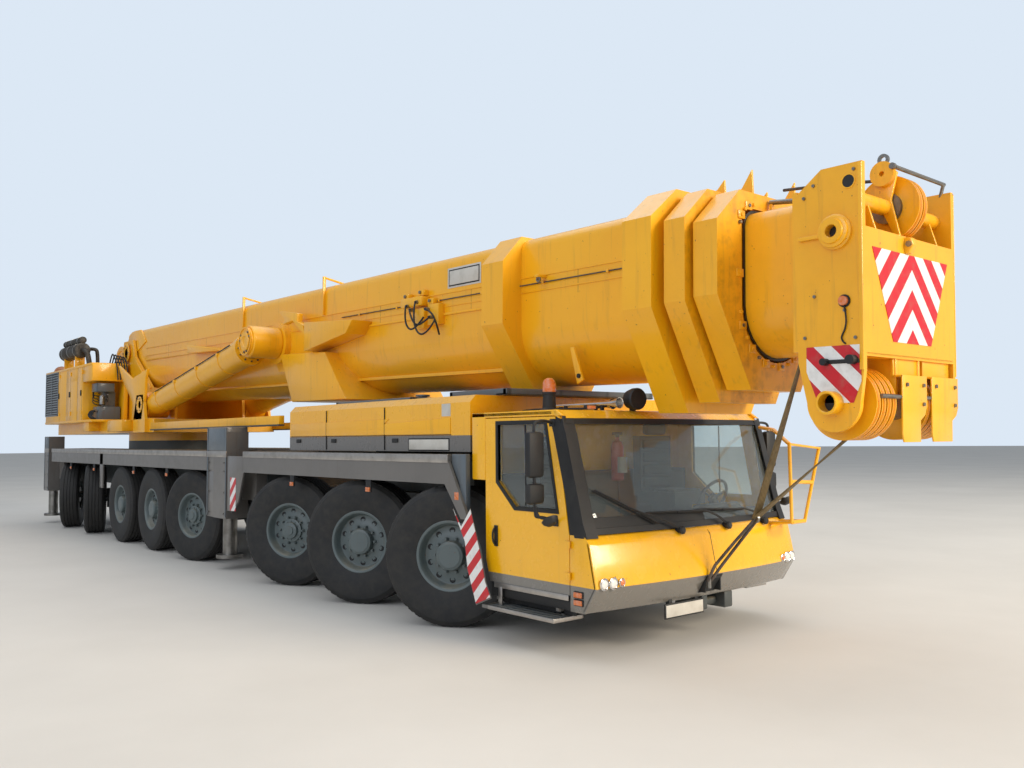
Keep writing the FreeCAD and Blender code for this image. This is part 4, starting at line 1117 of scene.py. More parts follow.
@dataclass
class Cab(SubAssembly):
    """Screen surround, wipers, lamps, steps and other trim of the driver's cab."""

    def band(self, piece: Piece, y0: float, y1: float, z0: float, z1: float, out: float,
             finish: int = 0) -> None:
        """Adds a strip that follows the bowed front between two heights."""
        loops = []
        for y in steps(y0, y1, 17):
            loops.append([cab_front(y, z0, 0.0005), cab_front(y, z1, 0.0005), cab_front(y, z1, out),
                          cab_front(y, z0, out)])
        piece.loft(loops, finish)

    def trim(self) -> None:
        """Adds the black bands above and below the screen, pillar covers, seams and the blank plate."""
        piece = self.start("cab_front_trim", "carrier", "black", "label", "two_tone", "alloy")
        self.band(piece, -1.33, 1.33, 1.035, 1.085, 0.012)
        self.band(piece, -1.31, 0.05, 1.085, 1.17, -0.008)
        self.band(piece, -1.36, 1.36, 1.955, 2.005, 0.01)
        for _ in piece.sides():
            loops = []
            for z in steps(1.01, 2.0, 9):
                inner = cab_front(1.285, z, 0.016)
                outer = cab_front(1.398, z, 0.012)
                back = (outer[0] - 0.14, 1.408, z)
                loops.append([inner, outer, back, (back[0], 1.385, z), cab_front(1.385, z, -0.03),
                              cab_front(1.285, z, 0.001)])
            piece.loft(loops)
        seam = 0.02
        loops = []
        for z in (0.6, 0.62, 0.97, 1.0):
            loops.append([cab_front(seam, z, 0.0005), cab_front(seam + 0.006, z, 0.0005),
                          cab_front(seam + 0.006, z, 0.002), cab_front(seam, z, 0.002)])
        piece.loft(loops)
        piece.block((8.06, -0.55, 0.262), (8.072, -0.02, 0.392), 0.004, 0)
        piece.block((8.0725, -0.535, 0.275), (8.077, -0.035, 0.379), 0.003, 1)
        piece.block((8.02, -0.48, 0.36), (8.062, -0.44, 0.43), 0.003, 0)
        piece.block((8.02, -0.13, 0.36), (8.062, -0.09, 0.43), 0.003, 0)
        piece.done("trim")

    def coupling(self) -> None:
        """Adds the dark coupling plates below the nose and the liner of the hitch's recess."""
        piece = self.start("nose_coupling", "carrier", "chassis", "steel")
        piece.block((7.7, 0.02, 0.27), (8.02, 0.1, 0.4), 0.008)
        piece.block((7.7, 0.34, 0.25), (8.03, 0.46, 0.4), 0.012)
        piece.rod((7.9, 0.05, 0.31), (7.9, 0.43, 0.31), 0.035, 0, 20)
        piece.hoop(0.02, 0.034, 0.0, 0.02, (8.05, 0.0, 0.572), UP, 1, 20)
        piece.rod((8.05, 0.0, 0.59), (8.05, 0.0, 0.66), 0.012, 1, 12)
        piece.done("chassis")

    def wipers(self) -> None:
        """Adds three wipers, each with its arm, its link and its blade."""
        piece = self.start("cab_wipers", "carrier", "black", "seal")
        sweeps = (
            ((-0.36, 1.02), (-0.8, 1.19), (-1.25, 1.4), (-0.62, 1.1)),
            ((0.3, 1.02), (-0.05, 1.18), (-0.74, 1.19), (0.02, 1.165)),
            ((0.93, 1.02), (0.56, 1.16), (-0.09, 1.185), (0.64, 1.15)),
        )
        for foot, elbow, left, right in sweeps:
            hub = cab_front(*foot, 0.05)
            bend = cab_front(*elbow, 0.075)
            half_y, half_z = ((a + b) / 2 for a, b in zip(foot, elbow))
            middle_y, middle_z = ((a + b) / 2 for a, b in zip(left, right))
            piece.rod(cab_front(*foot), hub, 0.026, 0, 18)
            piece.turned([(0.0, 0.0), (0.036, 0.0), (0.036, 0.018), (0.024, 0.03), (0.0, 0.03)], hub,
                         (1.0, 0.0, 0.2), 0, 20)
            for lift in (0.0, 0.022):
                middle = cab_front(half_y + lift, half_z + 0.045, 0.095)
                piece.tube([(hub[0], hub[1] + lift, hub[2]), middle, (bend[0], bend[1] + lift, bend[2])],
                           0.0065, 0)
            piece.tube([cab_front(*at, 0.055) for at in (left, (middle_y, middle_z + 0.008), right)], 0.008)
            piece.tube([cab_front(y, z - 0.008, 0.022) for y, z in (left, right)], 0.009, 1, False)
            for share in (0.1, 0.37, 0.63, 0.9):
                y, z = (a + (b - a) * share for a, b in zip(left, right))
                piece.rod(cab_front(y, z, 0.055), cab_front(y, z - 0.006, 0.024), 0.005, 0, 8)
            piece.rod(bend, cab_front(middle_y, middle_z, 0.056), 0.009, 0, 10)
        piece.done("trim")

    def lamps(self) -> None:
        """Adds round head lamps in chrome rings and the stacked side signals."""
        piece = self.start("cab_lamps", "carrier", "chrome", "lamp", "amber", "black")
        for _ in piece.sides():
            for y, r in ((1.325, 0.042), (1.23, 0.042), (1.14, 0.028)):
                at = cab_front(y, 0.65, 0.008)
                piece.turned([(r - 0.004, -0.004), (r + 0.008, -0.006), (r + 0.009, 0.004),
                              (r + 0.002, 0.008), (r - 0.004, 0.004)], at, AHEAD, 0, 32, True)
                piece.turned([(r - 0.003, 0.0), (r * 0.8, 0.008), (r * 0.45, 0.013), (0.0, 0.015)], at,
                             AHEAD, 1 if r > 0.03 else 2, 32)
            for z in (0.485, 0.548):
                piece.block((7.835, 1.39, z - 0.028), (7.945, 1.412, z + 0.028), 0.006, 3)
                piece.block((7.842, 1.405, z - 0.022), (7.938, 1.422, z + 0.022), 0.008, 2)
            piece.block((7.7, 1.02, 2.081), (7.74, 1.14, 2.12), 0.008, 3)
            piece.block((7.735, 1.03, 2.086), (7.745, 1.13, 2.115), 0.004, 2)
        piece.done("trim")

    def roof(self) -> None:
        """Adds the beacons, the turned-down lamp and the horns on the roof."""
        piece = self.start("cab_roof_lamps", "carrier", "black", "amber", "chrome", "lamp")
        for y in (-1.1, 1.1):
            piece.turned([(0.0, 0.0), (0.085, 0.0), (0.085, 0.012), (0.062, 0.03), (0.057, 0.15),
                          (0.066, 0.153), (0.066, 0.172), (0.0, 0.172)], (7.22, y, 2.081), UP, 0, 32)
            piece.turned([(0.06, 0.0), (0.062, 0.02), (0.059, 0.085), (0.048, 0.115), (0.028, 0.13),
                          (0.0, 0.134)], (7.22, y, 2.25), UP, 1, 32)
        piece.turned([(0.0, 0.0), (0.03, 0.0), (0.05, 0.03), (0.085, 0.06), (0.1, 0.12), (0.1, 0.17),
                      (0.09, 0.185), (0.088, 0.175), (0.0, 0.165)], (7.58, -0.47, 2.185),
                     (1.0, -0.15, 0.0), 0, 36)
        piece.rod((7.66, -0.47, 2.081), (7.66, -0.47, 2.12), 0.03, 0, 20)
        for y, x0 in ((-0.62, 6.72), (-0.72, 6.9)):
            piece.turned([(0.012, 0.0), (0.014, 0.5), (0.022, 0.72), (0.045, 0.82), (0.05, 0.835),
                          (0.044, 0.832), (0.012, 0.7)], (x0, y, 2.145), AHEAD, 2, 28)
            for x in (x0 + 0.12, x0 + 0.6):
                piece.block((x, y - 0.014, 2.081), (x + 0.03, y + 0.014, 2.14), 0.003, 0)
        piece.tube([(6.62, -0.9, 2.1), (6.9, -0.92, 2.115), (7.3, -0.84, 2.1), (7.5, -0.66, 2.115),
                    (7.58, -0.5, 2.16)], 0.011, 0)
        piece.done("trim")

    def door(self, name: str, place: Matrix) -> None:
        """Adds one door's window rubber, pane, handle, mirror glasses and lower mirror."""
        window = [(7.1, 1.23), (7.63, 1.23), (7.49, 1.96), (6.85, 1.96), (6.85, 1.45)]
        wide = [(7.075, 1.195), (7.662, 1.195), (7.516, 1.995), (6.815, 1.995), (6.815, 1.435)]
        piece = self.start(f"cab_door_{name}_fittings", f"cab_door_{name}", "seal", "glass", "black",
                           "mirror", "chrome", place=place)
        loops = [[(xb, 1.4005, zb), (xb, 1.406, zb), (xa, 1.409, za), (xa, 1.3705, za)] for (xa, za),
                 (xb, zb) in zip(window, wide)]
        piece.loft(loops, 0, True)
        piece.plate(window, Axis.Y, 1.372, 1.378, 0.0, 1)
        piece.block((7.2, 1.37, 1.24), (7.212, 1.384, 1.955), 0.002, 0)
        piece.block((6.79, 1.4005, 0.855), (6.84, 1.412, 1.045), 0.01, 2)
        piece.tube([(6.815, 1.408, 1.03), (6.815, 1.445, 1.015), (6.815, 1.445, 0.885),
                    (6.815, 1.408, 0.87)], 0.01, 2)
        for z0, z1 in ((1.53, 1.87), (1.31, 1.44)):
            piece.block((7.5975, MIRROR_Y - 0.068, z0), (7.6005, MIRROR_Y + 0.068, z1), 0.001, 3)
        piece.tube([(7.64, MIRROR_Y, 1.27), (7.68, 1.66, 1.19), (7.76, 1.66, 1.175), (7.82, 1.66, 1.19)],
                   0.011, 2)
        piece.turned([(0.0, 0.05), (0.04, 0.045), (0.066, 0.02), (0.072, 0.0), (0.066, -0.004),
                      (0.0, -0.004)], (7.83, 1.66, 1.175), (0.55, 0.0, -0.8), 2, 32)
        piece.done("trim")

    def steps(self) -> None:
        """Adds the tray under each door with its tread, its bright edges and the sill strip."""
        piece = self.start("cab_steps", "carrier", "alloy", "slate", "black")
        for _ in piece.sides():
            piece.block((6.79, 1.402, 0.486), (7.775, 1.412, 0.532), 0.003, 0)
            piece.block((6.8, 1.49, 0.298), (7.68, 1.497, 0.334), 0.003, 0)
            piece.block((7.672, 1.16, 0.298), (7.684, 1.497, 0.334), 0.003, 0)
            for i in range(14):
                x = 6.82 + i * 0.062
                piece.block((x, 1.17, 0.3305), (x + 0.03, 1.485, 0.336), 0.002, 1)
            piece.block((6.86, 1.405, 0.3), (6.91, 1.42, 0.5), 0.004, 0)
            piece.block((6.76, 1.3, 0.345), (7.76, 1.31, 0.52), 0.002, 2)
        piece.done("grey_panel")

    def inside(self) -> None:
        """Adds head rests, seat seams, the red extinguisher and a sun blind."""
        piece = self.start("cab_inside_fittings", "carrier", "cloth", "red_paint", "label", "black")
        for y in (-0.7, 0.7):
            for z in (1.32, 1.45, 1.58, 1.71):
                piece.block((6.88, y - 0.21, z), (6.93, y + 0.21, z + 0.1), 0.02, 0)
            piece.block((6.84, y - 0.15, 1.86), (6.93, y + 0.15, 1.98), 0.03, 0)
            for x in (6.95, 7.1, 7.22):
                piece.block((x, y - 0.21, 1.275), (x + 0.1, y + 0.21, 1.305), 0.012, 0)
        piece.turned([(0.0, 0.0), (0.05, 0.0), (0.058, 0.012), (0.058, 0.3), (0.045, 0.345), (0.02, 0.36),
                      (0.018, 0.39), (0.0, 0.39)], (7.6, -0.62, 1.45), UP, 1, 28)
        piece.rod((7.6585, -0.62, 1.52), (7.659, -0.62, 1.66), 0.045, 2, 16)
        piece.rod((7.6, -0.62, 1.84), (7.6, -0.62, 1.88), 0.02, 3, 14)
        piece.block((7.61, -0.7, 1.86), (7.625, -0.58, 1.885), 0.004, 3)
        piece.block((7.62, -0.645, 1.09), (7.64, -0.6, 1.46), 0.004, 3)
        piece.done("trim")

    def build(self) -> None:
        """Builds the cab's trim."""
        self.trim()
        self.coupling()
        self.wipers()
        self.lamps()
        self.roof()
        self.steps()
        self.inside()
        for name, place in HANDS.items():
            self.door(name, place)


@dataclass
class Jacks(SubAssembly):
    """Bright bands, caps and bolts of the outrigger jacks' tubes."""

    def build(self) -> None:
        """Builds the trim of each jack's tube, riding on its beam."""
        tubes = {
            "front_right": (0.13, 0.83, 2.03, "right"), "front_left": (0.89, 1.35, 1.96, "left"),
            "rear_right": (-9.71, -9.33, 1.96, "right"), "rear_left": (-9.28, -8.9, 1.96, "left"),
        }
        for name, (x0, x1, top, side) in tubes.items():
            piece = self.start(f"jack_trim_{name}", f"outrigger_beam_{name}", "alloy", "slate", "steel",
                               place=HANDS[side])
            y = 1.5
            piece.block((x0 - 0.004, y - 0.01, 1.6), (x1 + 0.004, y + 0.008, 1.686), 0.003, 0)
            for x in (x0, x1 - 0.03):
                piece.block((x, y - 0.004, 0.75), (x + 0.03, y + 0.006, top - 0.01), 0.003, 1)
            outline = [(x0 + 0.03, 1.7), (x1 - 0.03, 1.7), (x1 - 0.06, top - 0.02), (x0 + 0.06, top - 0.02)]
            piece.plate(outline, Axis.Y, y - 0.002, y + 0.005, 0.002, 1)
            for x in (x0 + 0.07, x1 - 0.07):
                for z in (0.8, 1.1, 1.4, 1.52):
                    piece.rod((x, y, z), (x, y + 0.012, z), 0.012, 2, 6)
            piece.done("grey_panel")


def section(half: float, top: float, low: float, grow: float = 0.0) -> list[Flat]:
    """Gives a boom section's outline as (across, above), grown outward all round.

    Args:
        half: half width.
        top: height of its flat top.
        low: height of its belly.
        grow: how far outside the section the outline runs.

    Returns:
        The closed ring of corners.
    """
    r = 0.13
    corners: list[Flat] = []
    for i in range(7):
        turn = math.radians(90.0 - 15.0 * i)
        corners.append((half - r + (r + grow) * math.cos(turn), top - r + (r + grow) * math.sin(turn)))
    for i in range(19):
        turn = math.radians(-10.0 * i)
        corners.append(((half + grow) * math.cos(turn), low + half + (half + grow) * math.sin(turn)))
    for i in range(7):
        turn = math.radians(180.0 - 15.0 * i)
        corners.append((-half + r + (r + grow) * math.cos(turn), top - r + (r + grow) * math.sin(turn)))
    return corners


@dataclass
class Boom(SubAssembly):
    """Seals, bolts, grease, ropes and small fittings of the boom, in its own frame."""

    # Collar faces: body, face along the boom, section inside it (half, top, low), bolts round it
    faces: tuple[tuple[str, float, Point, int], ...] = (
        ("boom_base", 14.72, (0.545, 0.425, -0.985), 22),
        ("boom_tele_1", 15.02, (0.49, 0.37, -0.93), 22),
        ("boom_tele_2", 15.3, (0.435, 0.315, -0.875), 26),
    )

    def seals(self) -> None:
        """Adds the dark wiper seal, the wear pads and the bolts round each opening."""
        for body, at, shape, bolts in self.faces:
            piece = self.start(f"{body}_face", body, "grease_pack", "greasy", "steel", place=BOOM)
            inner, outer = section(*shape, 0.004), section(*shape, 0.026)
            loops = [[(at - 0.002, *a), (at + 0.007, *a), (at + 0.005, *b), (at - 0.002, *b)] for a,
                     b in zip(inner, outer)]
            piece.loft(loops, 0, True)
            ring = section(*shape, 0.075)
            total = len(ring)
            for i in range(bolts):
                share = i * total / bolts
                a, b = ring[int(share) % total], ring[(int(share) + 1) % total]
                y, v = (a[k] + (b[k] - a[k]) * (share % 1.0) for k in (0, 1))
                if i % 2 == 0:
                    piece.block((at - 0.001, y - 0.045, v - 0.035), (at + 0.012, y + 0.045, v + 0.035),
                                0.006, 1)
                piece.rod((at, y, v), (at + 0.022, y, v), 0.016, 1 if i % 3 else 2, 6)
            piece.done("yellow")

    def boards(self) -> None:
        """Adds the bare name boards, cable run and lugs on the sides of the base section."""
        piece = self.start("boom_side_fittings", "boom_base", "black", "label", "rope", "yellow", "steel",
                           place=BOOM)
        for _ in piece.sides():
            y = 0.6
            piece.block((11.36, y, 0.1), (11.98, y + 0.004, 0.33), 0.001, 1)
            piece.block((11.385, y, 0.12), (11.955, y + 0.006, 0.31), 0.001, 0)
            piece.block((11.4, y, 0.135), (11.94, y + 0.008, 0.295), 0.001, 1)
            piece.rod((8.95, y + 0.018, -0.02), (12.31, y + 0.018, -0.02), 0.007, 2, 8)
            piece.rod((12.66, y + 0.018, -0.02), (14.39, y + 0.018, -0.02), 0.007, 2, 8)
            for u in (9.4, 10.3, 11.2, 12.0, 13.0, 13.9):
                piece.block((u, y, -0.035), (u + 0.03, y + 0.03, -0.005), 0.003, 3)
            for u in (2.2, 4.1, 6.0, 9.9, 11.8, 13.5):
                piece.block((u, y - 0.002, -0.172), (u + 0.004, y + 0.0005, 0.06), 0.0, 0)
        for u, v in ((10.72, -0.05), (10.8, -0.1), (10.92, -0.02), (11.12, -0.12), (11.2, -0.22)):
            piece.rod((u, -0.7, v), (u, -0.745, v), 0.022, 4, 6)
            piece.rod((u, -0.72, v), (u, -0.76, v), 0.013, 0, 10)
        hoses = (
            [(10.72, -0.755, -0.05), (10.76, -0.8, -0.22), (10.86, -0.79, -0.36), (10.96, -0.74, -0.3),
             (11.02, -0.7, -0.2)],
            [(10.92, -0.755, -0.02), (10.98, -0.83, -0.24), (11.1, -0.82, -0.44), (11.22, -0.76, -0.38),
             (11.25, -0.7, -0.25)],
            [(10.8, -0.755, -0.1), (10.88, -0.79, -0.2), (11.02, -0.8, -0.32), (11.16, -0.77, -0.26),
             (11.2, -0.74, -0.22)],
            [(11.12, -0.75, -0.12), (11.28, -0.78, -0.16), (11.34, -0.74, -0.3), (11.28, -0.66, -0.42)],
        )
        for route in hoses:
            piece.tube(route, 0.011, 0)
        for u0, u1, v in ((10.55, 10.66, 0.08), (10.86, 10.98, 0.1), (11.06, 11.18, -0.02)):
            piece.block((u0, -0.6, v - 0.04), (u1, -0.68, v + 0.03), 0.008, 3)
            piece.rod(((u0 + u1) / 2, -0.68, v), ((u0 + u1) / 2, -0.7, v), 0.02, 4, 8)
        piece.block((13.0, -0.6, 0.02), (13.05, -0.72, 0.05), 0.004, 3)
        piece.hoop(0.012, 0.03, 0.0, 0.02, (13.03, -0.7, 0.0), ACROSS, 4, 18)
        piece.plate([(13.42, -0.7), (13.47, -0.7), (13.6, -1.02), (13.52, -1.06)], Axis.Y, -0.6, -0.63,
                    0.006, 3)
        piece.rod((13.55, -0.63, -0.98), (13.55, -0.645, -0.98), 0.022, 0, 16)
        piece.done("yellow")

    def ropes(self) -> None:
        """Adds the hoist rope from the drum over the boom's top to the head."""
        piece = self.start("hoist_rope_on_base", "boom_base", "rope", "yellow", "black", place=BOOM)
        piece.tube([(1.2, 0.0, 0.482), (4.0, 0.0, 0.525), (8.0, 0.0, 0.57), (11.87, 0.0, 0.612),
                    (14.39, 0.0, 0.618), (14.72, 0.0, 0.61)], 0.013, 0, False)
        for u in (14.4, 14.68):
            piece.rod((u, -0.16, 0.595), (u, 0.16, 0.595), 0.018, 1, 16)
        piece.done("yellow")
        piece = self.start("hoist_rope_at_head", "boom_tele_3", "rope", place=BOOM)
        piece.tube([(15.36, 0.035, 0.56), (15.8, 0.035, 0.52), (16.2, 0.035, 0.468)], 0.013, 0, False)
        piece.done("yellow")
        piece = self.start("hoist_rope_at_drum", "upper", "rope")
        piece.tube([(-7.8, 0.0, 3.905), (-7.2, 0.0, 3.97), (-6.66, 0.0, 4.03)], 0.013, 0, False)
        piece.done("yellow")

    def build(self) -> None:
        """Builds the boom's dress."""
        self.seals()
        self.boards()
        self.ropes()


@dataclass
class Cylinders(SubAssembly):
    """Caps, glands, pipes and pins of the two lift cylinders, in the cylinders' own frame."""

    gland: float = LIFT_LENGTH - 0.4
    face: float = LIFT_Y + 0.26

    def barrels(self) -> None:
        """Adds the gland's bolts, the bands with their pipe clips and the pipe of each barrel."""
        piece = self.start("lift_barrel_trim", "luff_barrels", "steel", "yellow", "black", place=LIFT)
        y = LIFT_Y
        for _ in piece.sides():
            piece.bolts((self.gland + 0.001, y, 0.0), Axis.X, 0.195, 12, 0.019, 0.014)
            for u in (0.62, 1.6, 2.6, 3.5):
                piece.hoop(0.219, 0.228, 0.0, 0.05, (u, y, 0.0), AHEAD, 1, 40)
                piece.block((u, y + 0.205, 0.045), (u + 0.05, y + 0.235, 0.105), 0.006, 1)
            piece.tube([(u, y + 0.2, 0.12) for u in (0.5, 1.2, self.gland - 0.3)], 0.009, 2, False)
        piece.done("yellow")

    def rods(self) -> None:
        """Adds the cap, the keeper's bolts and the ring on each rod's eye."""
        piece = self.start("lift_rod_trim", "luff_rods", "yellow", "steel", "black", place=LIFT)
        eye = (LIFT_LENGTH, self.face, 0.0)
        for _ in piece.sides():
            piece.turned([(0.0, 0.0), (0.07, 0.0), (0.085, 0.018), (0.13, 0.018), (0.14, 0.008),
                          (0.14, 0.0)], eye, ACROSS, 0, 36)
            for third in (0.0, 1.0, 2.0):
                for off in (-0.25, 0.25):
                    turn = 2.0 * math.pi * third / 3.0 + 0.5 + off
                    u, v = LIFT_LENGTH + 0.16 * math.cos(turn), 0.16 * math.sin(turn)
                    piece.rod((u, self.face, v), (u, self.face + 0.016, v), 0.015, 1, 6)
            piece.turned([(0.19, 0.0), (0.205, 0.0), (0.208, 0.012), (0.192, 0.012)], eye, ACROSS, 0, 44,
                         True)
        piece.done("yellow")

    def build(self) -> None:
        """Builds the trim of both cylinders."""
        self.barrels()
        self.rods()


@dataclass
class Upper(SubAssembly):
    """Panel seams, handles, straps and grilles of the upper carriage's housing, and its drum."""

    rope_pitch: float = 0.022

    def housing(self) -> None:
        """Adds seams, handles and hinges on both long sides and the tail."""
        piece = self.start("housing_fittings", "upper", "black", "slate", "yellow", "steel", "label")
        y = 1.42
        for seams, end in piece.sides(((-8.81, -7.9), -6.86), ((-8.81, -7.9, -7.0), -6.26)):
            for x in seams:
                piece.block((x, y - 0.002, 2.27), (x + 0.007, y + 0.0015, 3.42), 0.0, 0)
                piece.block((x - 0.1, y, 2.8), (x - 0.03, y + 0.014, 2.92), 0.006, 0)
                for z in (2.4, 3.25):
                    piece.rod((x + 0.035, y + 0.008, z), (x + 0.035, y + 0.008, z + 0.09), 0.012, 2, 12)
            piece.block((-10.07, y - 0.002, 3.4), (end, y + 0.008, 3.45), 0.004, 2)
            piece.block((-10.07, y - 0.002, 2.245), (end, y + 0.006, 2.29), 0.004, 2)
            piece.block((-9.0, y, 3.18), (-8.9, y + 0.003, 3.27), 0.001, 4)
        for z in steps(2.46, 3.285, 16):
            piece.block((-10.0795, -0.95, z), (-10.068, 0.95, z + 0.03), 0.001, 1)
        for y in (-1.3, -1.05, 1.05, 1.3):
            piece.rod((-10.07, y, 2.4), (-10.0795, y, 2.4), 0.014, 3, 6)
        piece.done("yellow")

    def roof(self) -> None:
        """Adds hatches and a rail on the housing's roof."""
        piece = self.start("housing_roof", "upper", "steel", "black", "slate", "yellow")
        for x0, x1, y0, y1 in ((-9.9, -8.5, -0.7, 0.7), (-9.9, -8.5, 0.8, 1.3), (-8.2, -7.5, 0.9, 1.32)):
            piece.block((x0, y0, 3.451), (x1, y1, 3.475), 0.008, 3)
            piece.block((x0 + 0.08, y0 + 0.05, 3.474), (x1 - 0.08, y1 - 0.05, 3.482), 0.003, 2)
        for x in (-9.95, -8.9, -7.9):
            piece.rod((x, 1.38, 3.44), (x, 1.38, 3.95), 0.016, 3, 12)
        piece.tube([(-9.95, 1.38, 3.95), (-7.9, 1.38, 3.95)], 0.016, 3, False)
        piece.tube([(-9.95, 1.38, 3.7), (-7.9, 1.38, 3.7)], 0.013, 3, False)
        piece.done("steel")

    def alcove(self) -> None:
        """Adds the valve blocks' fittings, hoses and the pale box in the alcove on the right."""
        piece = self.start("alcove_fittings", "upper", "steel", "black", "yellow", "slate", "brass")
        piece.block((-6.69, -1.302, 2.865), (-6.34, -1.308, 3.035), 0.003, 3)
        for i in range(5):
            x = -6.74 + i * 0.07
            piece.rod((x, -1.251, 2.47), (x, -1.3, 2.47), 0.02, 0, 6)
            piece.rod((x, -1.3, 2.47), (x, -1.32, 2.47), 0.012, 1, 10)
            piece.tube([(x, -1.32, 2.47), (x + 0.01, -1.36, 2.42 - 0.01 * i), (x + 0.05, -1.36, 2.34),
                        (x + 0.08, -1.3, 2.3)], 0.011, 1)
        for i in range(4):
            z = 2.6 + i * 0.06
            piece.rod((-6.72, -1.121, z), (-6.72, -1.18, z), 0.02, 4, 6)
            piece.tube([(-6.72, -1.17, z), (-6.74, -1.24, z + 0.01), (-6.8, -1.27, z + 0.08),
                        (-6.86, -1.22, z + 0.2)], 0.01, 1)
        piece.turned([(0.0, 0.0), (0.05, 0.0), (0.05, 0.16), (0.035, 0.19), (0.0, 0.19)],
                     (-6.42, -1.18, 2.6), UP, 0, 24)
        piece.hoop(0.0, 0.055, 0.0, 0.02, (-6.42, -1.18, 2.585), UP, 1, 24)
        for z in (2.7, 2.78, 2.86):
            piece.tube([(-6.95, -1.1, z), (-6.7, -1.06, z + 0.03), (-6.4, -1.08, z),
                        (-6.26, -1.12, z - 0.04)], 0.014, 1)
        piece.done("steel")

    def platform(self) -> None:
        """Adds the slewing ring's bolts, the cheeks' stiffeners and hoses at the boom's foot."""
        piece = self.start("platform_fittings", "upper", "steel", "yellow", "black", "slate")
        piece.bolts((RING_X, 0.0, 1.96), Axis.Z, 0.9, 60, 0.039, 0.018)
        for _ in piece.sides():
            y = 0.68
            piece.turned([(0.0, 0.0), (0.1, 0.0), (0.115, 0.01), (0.19, 0.01), (0.2, 0.0)],
                         (BOOM_PIN[0], y + 0.04, BOOM_PIN[2]), ACROSS, 1, 36)
            piece.bolts((BOOM_PIN[0], y + 0.045, BOOM_PIN[2]), Axis.Y, 0.155, 8, 0.02, 0.014)
            piece.plate([(-6.72, 3.56), (-6.66, 3.56), (-6.4, 2.25), (-6.52, 2.25)], Axis.Y, y, y + 0.03,
                        0.004, 1)
            piece.plate([(-5.9, 3.5), (-5.84, 3.5), (-4.9, 2.9), (-4.95, 2.86)], Axis.Y, y, y + 0.02,
                        0.004, 1)
            piece.turned([(0.0, 0.0), (0.07, 0.0), (0.09, 0.012), (0.15, 0.012), (0.155, 0.0)],
                         (LIFT_FOOT[0], 1.225, LIFT_FOOT[1]), ACROSS, 1, 32)
            piece.bolts((LIFT_FOOT[0], 1.23, LIFT_FOOT[1]), Axis.Y, 0.12, 6, 0.018, 0.012)
        for i in range(5):
            y = -0.75 - 0.05 * i
            piece.tube([(-6.75, y, 3.46), (-6.6, y, 3.62 + 0.02 * i), (-6.4, y - 0.01, 3.6),
                        (-6.2, y, 3.4), (-6.15, y, 3.1)], 0.014, 2)
        piece.done("yellow")

    def drum(self) -> None:
        """Adds the hoist drum with its layers of rope, standing for the CAD one."""
        piece = self.start("hoist_drum_dressed", "hoist_drum", "yellow", "rope", "steel")
        rope = [(0.1, -0.3895)]
        y = -0.385
        while y < 0.385:
            rope += [(0.345, y), (0.3555, y + 0.0065), (0.3555, y + 0.0155), (0.345, y + self.rope_pitch)]
            y += self.rope_pitch
        rope.append((0.1, 0.3895))
        piece.turned(rope, DRUM, ACROSS, 1, 48)
        for _ in piece.sides():
            piece.turned([(0.0, 0.39), (0.39, 0.39), (0.399, 0.396), (0.399, 0.414), (0.39, 0.42),
                          (0.3, 0.42), (0.28, 0.405), (0.14, 0.405), (0.12, 0.42), (0.0595, 0.43),
                          (0.0595, 0.478), (0.0, 0.478)], DRUM, ACROSS, 0, 48)
            piece.bolts((DRUM[0], 0.42, DRUM[2]), Axis.Y, 0.09, 10, 0.017, 0.01, 2)
        piece.done("steel", ["hoist_drum"])

    def build(self) -> None:
        """Builds what the upper carriage carries."""
        self.housing()
        self.roof()
        self.alcove()
        self.platform()
        self.drum()


